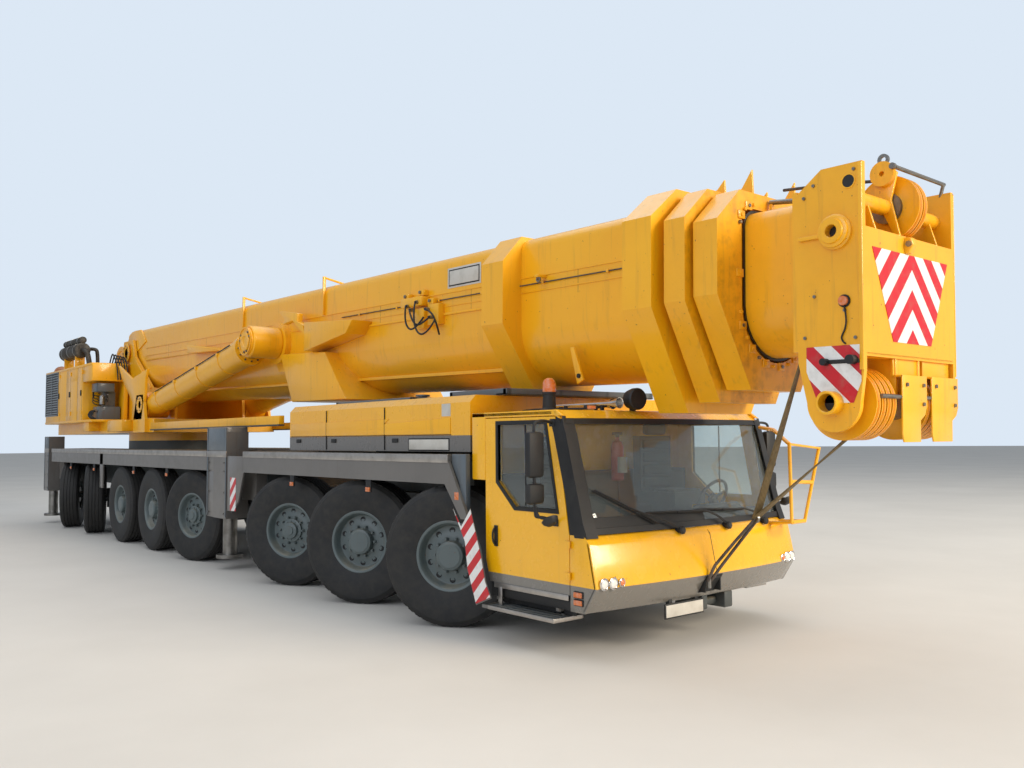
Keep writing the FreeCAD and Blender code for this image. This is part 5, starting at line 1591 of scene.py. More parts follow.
@dataclass
class CraneCab(SubAssembly):
    """Panes, seals, seat and controls of the crane driver's cab."""

    def seal(self, piece: Piece, low: Flat, high: Flat, y0: float, y1: float) -> None:
        """Adds the four strips of a pane's seal.

        Args:
            piece: the piece that they join.
            low: the seal's lower rear corner as (x, z).
            high: its upper front corner.
            y0: place of its inner face.
            y1: place of its outer face.
        """
        (x0, z0), (x1, z1), wide = low, high, 0.03
        for a, b, c, d in ((x0, z0, x0 + wide, z1), (x1 - wide, z0, x1, z1), (x0, z0, x1, z0 + wide),
                           (x0, z1 - wide, x1, z1)):
            piece.block((a, y0, b), (c, y1, d), 0.003, 1)

    def build(self) -> None:
        """Builds the crane cab's panes and inside, and its door's pane."""
        piece = self.start("crane_cab_panes", "crane_cab", "glass", "seal", "black")
        edge_x, edge_z = -4.36, 2.71
        slope = 0.18 / 1.05

        def front(y: float, z: float, out: float) -> Point:
            """Gives a point on the cab's leaning front, or a little ahead of it."""
            return edge_x - (z - edge_z) * slope + out, y, z

        piece.loft([[front(0.885, z, -0.02), front(1.355, z, -0.02), front(1.355, z, -0.026),
                     front(0.885, z, -0.026)] for z in (2.78, 3.67)])
        edge = [(0.875, 2.77), (1.365, 2.77), (1.365, 3.68), (0.875, 3.68)]
        inner = [(0.905, 2.8), (1.335, 2.8), (1.335, 3.65), (0.905, 3.65)]
        piece.loft([[front(*b, 0.001), front(*b, 0.008), front(*a, 0.008), front(*a, -0.02)] for a,
                    b in zip(inner, edge)], 1, True)
        piece.block((-5.89, 0.815, 2.95), (-4.65, 0.821, 3.65), 0.0, 0)
        self.seal(piece, (-5.9, 2.94), (-4.64, 3.66), 0.792, 0.8)
        piece.tube([front(1.1, 2.8, 0.03), front(1.08, 3.05, 0.045), front(1.02, 3.25, 0.03)], 0.008, 2)
        piece.tube([front(1.02, 2.98, 0.016), front(1.02, 3.5, 0.016)], 0.008, 2, False)
        piece.rod((-4.42, 1.1, 2.76), (-4.35, 1.1, 2.76), 0.022, 2, 16)
        piece.tube([(-4.6, 1.36, 3.6), (-4.45, 1.52, 3.62), (-4.45, 1.55, 3.55), (-4.45, 1.55, 3.3)], 0.01,
                   2)
        piece.block((-4.475, 1.5, 3.22), (-4.425, 1.6, 3.5), 0.015, 2)
        piece.done("glass")
        piece = self.start("crane_cab_inside_fittings", "crane_cab", "cloth", "black", "steel")
        piece.block((-5.75, 0.95, 2.62), (-5.3, 1.3, 2.74), 0.04, 0)
        piece.block((-5.8, 0.95, 2.72), (-5.68, 1.3, 3.28), 0.04, 0)
        piece.block((-5.79, 1.03, 3.29), (-5.7, 1.22, 3.44), 0.03, 0)
        piece.block((-5.65, 1.02, 2.301), (-5.4, 1.22, 2.62), 0.02, 1)
        for y in (0.88, 1.32):
            piece.block((-5.6, y, 2.74), (-5.15, y + 0.05, 2.84), 0.015, 1)
            piece.rod((-5.2, y + 0.025, 2.84), (-5.17, y + 0.025, 2.98), 0.012, 1, 12)
            piece.rod((-5.175, y + 0.025, 2.96), (-5.165, y + 0.025, 3.03), 0.024, 1, 14)
        piece.block((-4.8, 0.95, 2.301), (-4.7, 1.3, 2.8), 0.02, 1)
        piece.block((-4.86, 0.93, 2.78), (-4.74, 1.32, 3.02), 0.02, 1)
        piece.done("trim")
        piece = self.start("crane_cab_door_pane", "crane_cab_door", "glass", "seal", "black")
        piece.block((-5.69, 1.466, 2.85), (-5.07, 1.472, 3.62), 0.0, 0)
        self.seal(piece, (-5.7, 2.84), (-5.06, 3.63), 1.487, 1.495)
        piece.tube([(-5.12, 1.487, 2.75), (-5.12, 1.52, 2.74), (-5.12, 1.52, 2.56), (-5.12, 1.487, 2.55)],
                   0.009, 2)
        piece.done("glass")


@dataclass
class Tail(SubAssembly):
    """Lamps, bumper and coupling at the chassis' rear end."""

    def build(self) -> None:
        """Builds the tail's lamps and coupling."""
        piece = self.start("tail_lamps", "carrier", "black", "red", "amber", "lamp", "plate_bars", "steel")
        for _ in piece.sides():
            piece.block((-9.8, 0.22, 1.05), (-9.761, 0.58, 1.2), 0.012, 0)
            for i, finish in enumerate((2, 1, 1, 3)):
                y = 0.265 + i * 0.085
                piece.turned([(0.0, 0.0), (0.037, 0.0), (0.037, 0.008), (0.028, 0.016), (0.0, 0.018)],
                             (-9.8, y, 1.125), BACK, finish, 24)
            piece.block((-9.766, 0.15, 1.32), (-9.761, 0.585, 1.56), 0.0, 4)
        piece.block((-9.84, -0.16, 1.0), (-9.761, 0.16, 1.3), 0.015, 0)
        piece.turned([(0.02, 0.0), (0.06, 0.0), (0.07, 0.02), (0.07, 0.05), (0.03, 0.06)],
                     (-9.84, 0.0, 1.15), BACK, 5, 28, True)
        piece.done("chassis")


@dataclass
class CabBody(SubAssembly):
    """Painted shell, roof, screen and dash of the driver's cab, standing for the CAD shell and screen."""

    rear: float = 6.45
    arch: Flat = (6.71, 1.45)
    low: float = 0.4
    sill: float = 0.524
    roof: float = 2.08
    door_rear: float = 6.654
    door_front: float = 7.786
    door_top: Flat = (7.631, 2.026)
    wall: float = 0.045

    def nose(self, piece: Piece) -> None:
        """Adds the bowed front below the screen and the header above it."""
        for heights in ((0.4, 0.62, 0.97, 1.03), (1.965, 1.99, 2.08)):
            loops = []
            for y in steps(-CAB_SIDE, CAB_SIDE, 29):
                outer = [cab_front(y, z) for z in heights]
                inner = [cab_front(y, z, -self.wall) for z in reversed(heights)]
                loops.append(outer + inner)
            piece.loft(loops, 0, bevel=0.022)

    def walls(self, piece: Piece) -> None:
        """Adds the sides round the doors, the rear wall, the floor and the roof."""
        heights = [z for z, _ in CAB_FACE]
        corner = [(cab_front(CAB_SIDE, z)[0], z) for z in heights]
        below = [(self.door_front, self.low)] + corner[:4] + [(self.door_front, 1.03)]
        pillar = [(self.door_front, 1.03)] + corner[3:5] + [(corner[4][0], self.door_top[1]), self.door_top]
        above = [self.door_top, (corner[4][0], self.door_top[1]), corner[5], (self.door_top[0], self.roof)]
        inner = CAB_SIDE - self.wall
        for _ in piece.sides():
            for outline, finish in ((below, 0), (pillar, 1), (above, 0)):
                piece.plate(outline, Axis.Y, inner, CAB_SIDE, 0.004, finish)
            piece.block((self.rear, inner, self.door_top[1]),
                        (self.door_top[0] + 0.01, CAB_SIDE, self.roof), 0.012, 0)
            piece.block((self.rear, inner, self.arch[1]), (self.door_rear, CAB_SIDE, self.roof), 0.012, 0)
            piece.block((self.arch[0], inner + 0.01, self.low),
                        (self.door_front - 0.004, CAB_SIDE - 0.02, self.sill), 0.006, 1)
        bow = [cab_front(y, self.roof)[:2] for y in steps(-CAB_SIDE, CAB_SIDE, 17)]
        top = [(self.rear, -CAB_SIDE), *bow, (self.rear, CAB_SIDE)]
        piece.plate(top, Axis.Z, self.roof - 0.05, self.roof - 0.0005, 0.012, 0)
        piece.block((self.rear, -CAB_SIDE + 0.01, self.arch[1]),
                    (self.rear + 0.045, CAB_SIDE - 0.01, self.roof - 0.02), 0.006, 0)
        piece.block((self.arch[0], -inner, 0.78), (self.arch[0] + 0.045, inner, self.arch[1] + 0.04),
                    0.006, 1)
        piece.block((self.rear, -inner, self.arch[1]), (self.arch[0] + 0.045, inner, self.arch[1] + 0.045),
                    0.006, 1)
        piece.block((self.arch[0], -inner, 0.78), (8.0, inner, 0.83), 0.004, 1)
        piece.block((self.arch[0], -inner, 0.44), (7.98, inner, 0.47), 0.004, 1)

    def dash(self, piece: Piece) -> None:
        """Adds the dash with its hood, the column and the steering wheel."""
        outline = [(7.56, 0.83), (7.56, 1.03), (7.66, 1.12), (7.8, 1.13), (7.93, 1.06), (7.93, 0.83)]
        piece.plate(outline, Axis.Y, -1.27, 1.27, 0.02, 1)
        piece.plate([(7.56, 1.06), (7.6, 1.17), (7.74, 1.19), (7.8, 1.12)], Axis.Y, 0.42, 0.98, 0.02, 1)
        for y in (-0.9, -0.45, 0.1):
            piece.block((7.548, y - 0.14, 0.93), (7.565, y + 0.14, 1.01), 0.006, 1)
        piece.rod((7.63, 0.7, 1.23), (7.76, 0.7, 1.06), 0.032, 1, 18)
        ring = [(0.195 + 0.016 * math.cos(math.pi * i / 5), 0.016 * math.sin(math.pi * i / 5))
                for i in range(10)]
        piece.turned(ring, (7.63, 0.7, 1.23), (1.0, 0.0, -0.5), 1, 44, True)
        for turn in (0.4, 2.74, 4.71):
            across, up = 0.19 * math.cos(turn), 0.19 * math.sin(turn)
            piece.rod((7.63, 0.7, 1.23), (7.63 + up * 0.45, 0.7 + across, 1.23 + up * 0.89), 0.012, 1, 10)
        piece.rod((7.615, 0.7, 1.237), (7.65, 0.7, 1.22), 0.05, 1, 20)

    def hitch(self, piece: Piece) -> None:
        """Adds the black jaw plates of the tow hitch, and a dark sheet on the nose that is painted shade
        for the hitch's recess.
        """
        for z0, z1 in ((0.455, 0.478), (0.572, 0.595)):
            a = cab_front(0.0, z0)[0]
            piece.block((a - 0.06, -0.1, z0), (a + 0.012, 0.1, z1), 0.004, 1)
        for y in (-0.115, 0.1):
            piece.block((8.04, y, 0.455), (8.165, y + 0.015, 0.595), 0.003, 1)
        # The dark sheet between the jaws is painted shade for the hitch's recess.
        loops = [[cab_front(y, z, 0.002), cab_front(y, z, 0.004), cab_front(y, z + 0.16, 0.004),
                  cab_front(y, z + 0.16, 0.002)] for y, z in ((-0.115, 0.445), (0.0, 0.445),
                                                              (0.115, 0.445))]
        piece.loft(loops, 2)

    def build(self) -> None:
        """Builds the shell and the windscreen."""
        piece = self.start("cab_body", "carrier", "two_tone", "black", "seal")
        self.nose(piece)
        self.walls(piece)
        self.dash(piece)
        self.hitch(piece)
        piece.done("yellow", ["cab_shell"])
        pane = self.start("cab_screen", "carrier", "glass", "label")
        pane.loft([[cab_front(y, z, -0.014) for z in (1.04, 1.975)]
                   + [cab_front(y, z, -0.021) for z in (1.975, 1.04)] for y in steps(-1.31, 1.31, 25)], 0)
        pane.done("glass", ["cab_glass"])


@dataclass
class CabOutside(SubAssembly):
    """Mirrors on the doors and the tube frame at the cab's left front corner."""

    def mirrors(self, name: str, place: Matrix) -> None:
        """Adds one door's two mirror housings on their bent arm."""
        piece = self.start(f"cab_mirrors_{name}", f"cab_door_{name}", "black", "chrome", place=place)
        for low, top in ((1.51, 1.89), (1.29, 1.46)):
            piece.block((7.6, MIRROR_Y - 0.085, low), (7.685, MIRROR_Y + 0.085, top), 0.03, 0)
        piece.tube([(7.59, 1.395, 1.965), (7.62, 1.52, 1.985), (7.64, 1.6, 1.98), (7.64, 1.655, 1.96),
                    (7.64, MIRROR_Y, 1.9), (7.64, MIRROR_Y, 1.2), (7.64, 1.63, 1.18), (7.63, 1.53, 1.175),
                    (7.62, 1.395, 1.12)], 0.013, 0)
        for x, z in ((7.59, 1.965), (7.62, 1.12)):
            piece.block((x - 0.035, 1.399, z - 0.03), (x + 0.035, 1.412, z + 0.03), 0.005, 0)
        piece.done("trim")

    def tubes(self) -> None:
        """Adds the bent tube frame at the left front corner."""
        piece = self.start("cab_tube_frame", "carrier", "yellow", "steel")
        routes = (
            [(8.02, 1.05, 0.985), (8.3, 1.05, 1.01), (8.3, 1.04, 1.76), (8.3, 1.555, 1.715),
             (8.29, 1.285, 1.01), (7.99, 1.27, 0.985)],
            [(8.3, 1.045, 1.4), (8.295, 1.42, 1.38)],
            [(8.3, 1.05, 1.01), (8.29, 1.285, 1.01)],
            [(8.3, 1.04, 1.76), (8.02, 1.2, 1.9), (7.8, 1.28, 1.93)],
        )
        for route in routes:
            piece.tube(route, 0.02, 0, False)
        piece.done("yellow")

    def build(self) -> None:
        """Builds the cab's outside pieces."""
        for name, place in HANDS.items():
            self.mirrors(name, place)
        self.tubes()


@dataclass
class BoomIron(SubAssembly):
    """Ribs, saddle, gussets, brackets and fins welded to the boom, in its own frame."""

    half: float = 0.6
    ribs: tuple[Point, ...] = ((0.061, 0.014, 0.01), (-0.094, 0.01, 0.01), (-0.174, 0.026, 0.018))
    gusset: tuple[Flat, ...] = ((8.4, -0.06), (9.71, -0.133), (9.54, -0.297), (8.4, -0.46))
    saddle: tuple[Flat, ...] = ((7.46, -0.445), (8.81, -0.482), (9.39, -1.13), (7.86, -1.145))
    fork: tuple[Flat, ...] = ((8.35, -0.11), (8.29, -0.23), (7.6, -0.02), (7.47, 0.17), (7.52, 0.18),
                              (7.64, 0.06), (7.9, 0.01), (8.02, 0.11), (8.06, 0.1), (8.04, -0.01),
                              (8.23, -0.09))
    rest: tuple[Flat, ...] = ((3.64, -0.06), (3.665, -0.06), (3.7, -0.17), (5.19, -0.215), (5.19, -0.25),
                              (3.66, -0.21))
    ear: tuple[Flat, ...] = ((-0.25, -0.2), (-0.22, 0.3), (0.0, 0.45), (0.25, 0.465), (0.6, 0.46),
                             (0.9, 0.2))
    # Valve blocks: start, end, low, top, outer face
    valves: tuple[tuple[float, ...], ...] = (
        (10.55, 11.0, -0.06, 0.05, 0.72), (10.82, 11.02, -0.33, -0.09, 0.7),
        (11.08, 11.3, -0.3, -0.06, 0.69))

    def base(self) -> None:
        """Adds what is welded to the base section."""
        piece = self.start("boom_base_iron", "boom_base", "yellow", "black", "steel", place=BOOM)
        half = self.half
        for _ in piece.sides():
            for height, depth, proud in self.ribs:
                piece.block((0.9, half - 0.004, height - depth), (12.32, half + proud, height), 0.003)
            piece.block((1.0, 0.41, -0.88), (12.32, 0.47, -0.84), 0.004)
            piece.plate(self.gusset, Axis.Y, half - 0.004, 0.9, 0.012)
            piece.plate(self.ear, Axis.Y, half - 0.002, half + 0.02, 0.004)
            piece.block((12.64, half - 0.004, -0.1), (14.4, half + 0.01, -0.085), 0.003)
            piece.block((12.64, half - 0.004, 0.05), (14.4, half + 0.01, 0.064), 0.003)
        piece.plate(self.saddle, Axis.Y, -0.8, 0.8, 0.015)
        out = half + 0.23
        piece.plate(self.fork, Axis.Y, -out, 0.09 - out, 0.008)
        piece.block((8.29, -out, -0.26), (8.35, 0.004 - half, -0.08), 0.006)
        piece.plate(self.rest, Axis.Y, -half - 0.18, 0.004 - half, 0.006)
        for start, end, low, top, face in self.valves:
            piece.block((start, -face, low), (end, 0.004 - half, top), 0.01)
        for u in (5.7, 8.415):
            piece.block((u, -half - 0.035, 0.06), (u + 0.03, 0.004 - half, 0.6), 0.004)
            piece.rod((u + 0.015, -half - 0.015, 0.585), (u + 0.015, -half + 0.3, 0.525), 0.015)
        post = 11.86
        piece.block((post, -0.02, 0.47), (post + 0.03, 0.02, 0.58), 0.004)
        piece.hoop(0.022, 0.045, -0.012, 0.012, (post + 0.015, 0.0, 0.612), ACROSS, 0, 28)
        piece.done("yellow")

    def fins(self) -> None:
        """Adds the fins on the telescoping sections' collars."""
        rows = (
            ("boom_tele_1", [(14.8, 0.53), (15.02, 0.53), (15.01, 0.66), (14.94, 0.59)]),
            ("boom_tele_2", [(15.06, 0.48), (15.3, 0.48), (15.29, 0.69), (15.19, 0.55)]),
        )
        for body, outline in rows:
            piece = self.start(f"{body}_fins", body, "yellow", place=BOOM)
            for _ in piece.sides():
                piece.plate(outline, Axis.Y, 0.3, 0.32, 0.003)
            piece.done("yellow")

    def head(self) -> None:
        """Adds the bosses, lug, eye, bars, guard plates and pipe of the head."""
        piece = self.start("head_iron", "boom_tele_3", "yellow", "steel", "black", "amber", place=BOOM)
        for _ in piece.sides():
            face = 0.7
            piece.turned([(0.065, -0.005), (0.085, -0.005), (0.085, 0.095), (0.08, 0.1), (0.07, 0.1),
                          (0.065, 0.095)], (HEAD_LOBE[0], face, HEAD_LOBE[1]), ACROSS, 0, 40, True)
            # Here and below, the black discs inside the bosses' rings are painted shade for their dark
            # bores.
            piece.hoop(0.0, 0.066, 0.001, 0.004, (HEAD_LOBE[0], face, HEAD_LOBE[1]), ACROSS, 2, 32)
            piece.turned([(0.045, -0.005), (0.128, -0.005), (0.128, 0.022), (0.115, 0.03), (0.115, 0.052),
                          (0.098, 0.06), (0.092, 0.06), (0.088, 0.075), (0.05, 0.075), (0.045, 0.07)],
                         (16.274, face, -0.05), ACROSS, 0, 44, True)
            piece.hoop(0.0, 0.046, 0.001, 0.006, (16.274, face, -0.05), ACROSS, 2, 28)
            piece.hoop(0.0, 0.047, 0.0, 0.003, (16.377, face, 0.302), ACROSS, 2, 28)
            piece.hoop(0.046, 0.054, -0.002, 0.006, (16.377, face, 0.302), ACROSS, 0, 28)
            piece.block((15.98, face - 0.004, -0.08), (16.2, face + 0.03, -0.05), 0.006)
            piece.block((16.452, face - 0.001, -1.05), (16.483, face + 0.012, 0.42), 0.004)
            piece.rod((16.191, face, -0.985), (16.191, face + 0.06, -0.985), 0.026, 2, 24)
            piece.rod((16.405, face, -0.977), (16.405, face + 0.07, -0.977), 0.034, 2, 24)
            piece.block((16.15, face, -1.0), (16.45, face + 0.012, -0.97), 0.004, 2)
            for u, v in ((16.02, 0.24), (16.1, 0.32), (16.42, 0.38), (16.02, -0.8), (16.42, -0.82),
                         (16.1, -0.5), (16.34, -0.62)):
                piece.rod((u, face, v), (u, face + 0.012, v), 0.013, 1, 6)
        piece.rod((16.338, -0.7, -0.554), (16.338, -0.735, -0.554), 0.034, 3, 24)
        piece.rod((16.338, -0.7, -0.554), (16.338, -0.712, -0.554), 0.046, 2, 24)
        piece.tube([(16.338, -0.712, -0.58), (16.36, -0.72, -0.66), (16.35, -0.71, -0.75),
                    (16.3, -0.71, -0.83), (16.345, -0.705, -0.86)], 0.006, 2)
        piece.plate([(16.46, -0.16), (16.51, -0.16), (16.545, -0.1), (16.53, -0.045), (16.49, -0.035),
                     (16.46, -0.05)], Axis.Y, -0.1, -0.04, 0.006)
        piece.rod((16.512, -0.11, -0.09), (16.512, -0.03, -0.09), 0.022, 1, 20)
        stay = [(16.26, 0.3), (16.27, 0.44), (16.31, 0.53), (16.37, 0.54), (16.44, 0.46), (16.46, -0.03),
                (16.42, -0.03), (16.39, 0.26)]
        piece.plate(stay, Axis.Y, -0.125, -0.1, 0.004)
        piece.turned([(0.02, -0.018), (0.095, -0.018), (0.078, 0.0), (0.095, 0.018), (0.02, 0.018)],
                     (16.34, -0.145, 0.46), ACROSS, 0, 36, True)
        for _ in piece.sides():
            piece.plate([(16.2, -0.03), (16.46, -0.03), (16.4, 0.16)], Axis.Y, 0.46, 0.48, 0.003)
        piece.hoop(0.022, 0.045, -0.01, 0.01, (16.335, -0.12, 0.575), ACROSS, 1, 28)
        piece.rod((16.43, -0.13, 0.5), (16.43, 0.66, 0.5), 0.016, 1)
        piece.rod((16.43, 0.65, 0.5), (16.38, 0.68, 0.38), 0.014, 1)
        piece.rod((16.43, -0.15, 0.5), (16.43, -0.18, 0.5), 0.024, 1, 16)
        piece.block((16.18, -0.66, -0.95), (16.48, 0.66, -0.92), 0.004)
        for y in (-0.24, 0.1):
            piece.block((16.16, y, -1.22), (16.47, y + 0.03, -0.93), 0.005)
        face = 16.518
        for y0, y1 in ((-0.26, 0.11), (0.19, 0.62)):
            outline = [(y0, -1.07), (y1, -1.07), (y1, -1.3), (y1 - 0.03, -1.36), (y1 - 0.1, -1.4),
                       (y1 - 0.1, -1.56), (y0 + 0.02, -1.56), (y0, -1.5)]
            piece.plate(outline, Axis.X, face, face + 0.014, 0.004)
            piece.block((16.46, y0, -1.084), (face + 0.014, y1, -1.07), 0.003)
            piece.block((16.44, y0, -1.084), (16.46, y1, -0.93), 0.003)
            for y, z in ((y0 + 0.06, -1.14), (y1 - 0.06, -1.14), (y1 - 0.06, -1.28)):
                piece.rod((face + 0.012, y, z), (face + 0.026, y, z), 0.016, 1, 6)
        piece.rod((16.512, -0.53, -1.23), (16.512, -0.25, -1.23), 0.016, 1)
        piece.rod((16.512, 0.1, -1.23), (16.512, 0.2, -1.23), 0.016, 1)
        piece.rod((15.32, -0.1, 0.44), (16.02, -0.1, 0.35), 0.022, 1)
        piece.block((15.32, -0.115, 0.3), (15.35, -0.085, 0.44), 0.003)
        piece.block((15.94, -0.115, 0.25), (16.0, -0.085, 0.36), 0.003)
        piece.done("yellow")

    def build(self) -> None:
        """Builds the ironwork."""
        self.base()
        self.fins()
        self.head()


@dataclass
class Rods(SubAssembly):
    """Rods of the lift cylinders with their eyes and round caps, standing for the CAD ones."""

    def build(self) -> None:
        """Builds both rods in the cylinders' own frame."""
        piece = self.start("lift_rods_dressed", "luff_rods", "yellow", "chrome", place=LIFT)
        y = LIFT_Y
        for _ in piece.sides():
            piece.rod((0.6, y, 0.0), (LIFT_LENGTH - 0.12, y, 0.0), 0.149, 1, 48)
            piece.turned([(0.0, -0.228), (0.225, -0.228), (0.235, -0.215), (0.235, 0.205), (0.225, 0.22),
                          (0.2, 0.222), (0.2, 0.245), (0.19, 0.255), (0.0, 0.255)], (LIFT_LENGTH, y, 0.0),
                         ACROSS, 0, 56)
            piece.turned([(0.0, -0.03), (0.215, -0.03), (0.205, 0.03), (0.16, 0.12), (0.15, 0.2),
                          (0.0, 0.2)], (LIFT_LENGTH - 0.13, y, 0.0), BACK, 0, 48)
        piece.done("yellow", ["luff_rods"])


@dataclass
class Housing(SubAssembly):
    """Engine housing of the upper carriage with louvres, alcove and silencers, standing for the CAD one."""

    rear: float = -10.068
    core: float = -7.35
    right: float = -6.25
    left: float = -6.85
    half: float = 1.42
    low: float = 2.24
    top: float = 3.45

    def body(self, piece: Piece) -> None:
        """Adds the housing's walls round the drum's well, its wings and the alcove's walls."""
        well_x, inner, cheek = -8.24, 0.48, 0.72
        piece.block((self.rear, -self.half, self.low), (well_x, self.half, self.top), 0.02, 0)
        piece.block((well_x - 0.02, -self.half, self.low), (self.core, self.half, 3.13), 0.004, 0)
        piece.block((well_x - 0.02, inner, 3.12), (self.core, self.half, self.top), 0.01, 0)
        piece.block((self.core - 0.03, cheek, self.low), (self.left, self.half, self.top), 0.02, 0)
        piece.block((well_x - 0.02, -self.half, 3.12), (self.core, -inner, self.top), 0.01, 0)
        piece.block((self.core - 0.03, -self.half, self.low), (-6.95, -cheek, self.top), 0.012, 0)
        piece.block((-6.97, -self.half, 3.08), (self.right, -cheek, self.top), 0.012, 0)
        piece.block((-6.97, -0.8, self.low), (self.right, -cheek, 3.1), 0.006, 0)
        piece.block((-6.97, -self.half, self.low), (self.right, -cheek, 2.29), 0.006, 0)
        for y0 in (0.44, -0.48):
            piece.plate([(-8.11, 2.95), (-7.93, 3.71), (-7.69, 3.71), (-7.51, 2.95)], Axis.Y, y0,
                        y0 + 0.04, 0.008, 0)
        for x0, x1, y0, y1, z0, z1 in ((-6.7, -6.33, -1.3, -0.96, 2.86, 3.04),
                                       (-6.8, -6.4, -1.25, -0.82, 2.28, 2.56),
                                       (-6.75, -6.48, -1.12, -0.9, 2.55, 2.87)):
            piece.block((x0, y0, z0), (x1, y1, z1), 0.012, 1)

    def louvres(self, piece: Piece) -> None:
        """Adds the air grilles with leaning slats on both sides of the tail, over a black sheet that is
        painted shade for the dark space behind them.
        """
        for _ in piece.sides():
            face = self.half
            # A black sheet behind the slats: painted shade for the dark space behind the grille.
            piece.block((-10.04, face - 0.002, 2.44), (-8.94, face + 0.001, 3.4), 0.0, 2)
            for x in (-10.06, -9.52, -8.96):
                piece.block((x, face, 2.43), (x + 0.04, face + 0.012, 3.41), 0.004, 1)
            for z in (2.42, 3.385):
                piece.block((-10.06, face, z), (-8.92, face + 0.012, z + 0.03), 0.004, 1)
            for i in range(17):
                z = 2.465 + i * 0.054
                piece.plate([(face, z), (face + 0.01, z + 0.004), (face + 0.012, z + 0.012),
                             (face, z + 0.034)], Axis.X, -10.03, -8.95, 0.0, 1)

    def exhaust(self, piece: Piece) -> None:
        """Adds both silencers with their straps and pipes, and the round inlet cap."""
        y = -1.15
        for z, r in ((3.86, 0.165), (4.082, 0.078)):
            piece.rod((-9.4, y, z), (-8.06, y, z), r, 3, 40)
            for x, way in ((-9.4, -1.0), (-8.06, 1.0)):
                piece.turned([(r, 0.0), (r * 0.96, 0.02), (r * 0.6, 0.035), (0.0, 0.04)], (x, y, z),
                             (way, 0.0, 0.0), 3, 36)
            for x in (-9.22, -8.75, -8.26):
                piece.hoop(r, r + 0.004, 0.0, 0.04, (x, y, z), AHEAD, 4, 36)
        for x in (-9.2, -8.3):
            piece.block((x, y - 0.1, self.top - 0.01), (x + 0.05, y + 0.1, 3.74), 0.006, 0)
        piece.tube([(-8.1, y, 3.86), (-7.9, y, 3.86), (-7.84, y + 0.06, 3.76), (-7.84, y + 0.1, 3.44)],
                   0.055, 3)
        piece.tube([(-8.3, -0.99, 3.9), (-8.2, -0.84, 3.93), (-8.18, -0.8, 3.8), (-8.18, -0.8, 3.44)],
                   0.04, 3)
        piece.turned([(0.17, 0.0), (0.165, 0.05), (0.14, 0.1), (0.09, 0.145), (0.0, 0.165)],
                     (-9.8, y, self.top), UP, 5, 40)
        piece.turned([(0.178, -0.004), (0.178, 0.03), (0.17, 0.034), (0.0, 0.034)], (-9.8, y, self.top),
                     UP, 2, 40)

    def build(self) -> None:
        """Builds the housing."""
        piece = self.start("upper_housing_dressed", "upper", "yellow", "slate", "black", "sooty", "steel",
                           "amber_paint")
        self.body(piece)
        self.louvres(piece)
        self.exhaust(piece)
        piece.done("yellow", ["upper_housing"])


@dataclass
class UpperIron(SubAssembly):
    """Hook plate, foot blocks, side beams and rails of the upper carriage, and the deck's gussets."""

    hook: tuple[Flat, ...] = ((-5.2, 3.32), (-3.5, 3.15), (-3.59, 2.99), (-4.35, 3.01), (-3.62, 2.7),
                              (-3.76, 2.235), (-4.33, 2.235), (-4.29, 2.56), (-4.95, 3.04))

    def build(self) -> None:
        """Builds the ironwork of the upper carriage and the right jack's surroundings."""
        piece = self.start("upper_iron", "upper", "yellow", "slate", "black", "chassis")
        piece.plate(self.hook, Axis.Y, -1.225, -1.175, 0.006)
        for x0, x1, low, top in ((-5.3, -4.4, 2.03, 2.245), (-7.05, -6.6, 2.05, 2.245)):
            piece.block((x0, -1.38, low), (x1, -1.12, top), 0.01)
        for _ in piece.sides():
            piece.block((-3.31, 1.13, 2.05), (1.9, 1.21, 2.17), 0.008)
            piece.block((-3.31, 1.13, 2.03), (1.9, 1.22, 2.05), 0.004, 3)
        piece.done("yellow")
        piece = self.start("deck_iron", "carrier", "grey", "yellow")
        gusset = [(0.87, 1.62), (1.42, 1.62), (1.42, 1.4), (1.26, 1.0), (1.07, 0.85), (0.87, 0.85)]
        piece.plate(gusset, Axis.Y, -1.47, -1.5, 0.006)
        for _ in piece.sides():
            piece.block((-5.32, 1.47, 0.95), (-5.12, 1.5, 1.66), 0.004)
            plate = [(6.275, 1.18), (6.55, 1.19), (6.722, 0.76), (6.78, 0.54), (6.86, 0.4), (6.63, 0.31),
                     (6.507, 0.62), (6.49, 0.74), (6.47, 0.87), (6.41, 1.01)]
            piece.plate(plate, Axis.Y, 1.494, 1.5, 0.002)
            piece.block((6.775, 1.28, 0.37), (6.815, 1.37, 0.42), 0.003)
            piece.block((7.575, 1.28, 0.37), (7.615, 1.37, 0.42), 0.003)
        piece.block((5.3, -0.3, 2.255), (5.48, 0.3, 2.31), 0.01, 1)
        piece.done("grey_panel")
        piece = self.start("jack_tube_front_right", "outrigger_beam_front_right", "grey")
        piece.block((0.13, -1.4985, 0.731), (0.829, -1.171, 1.4), 0.01)
        piece.block((0.13, -1.4985, 1.39), (0.829, -1.18, 2.03), 0.012)
        piece.done("grey_panel")


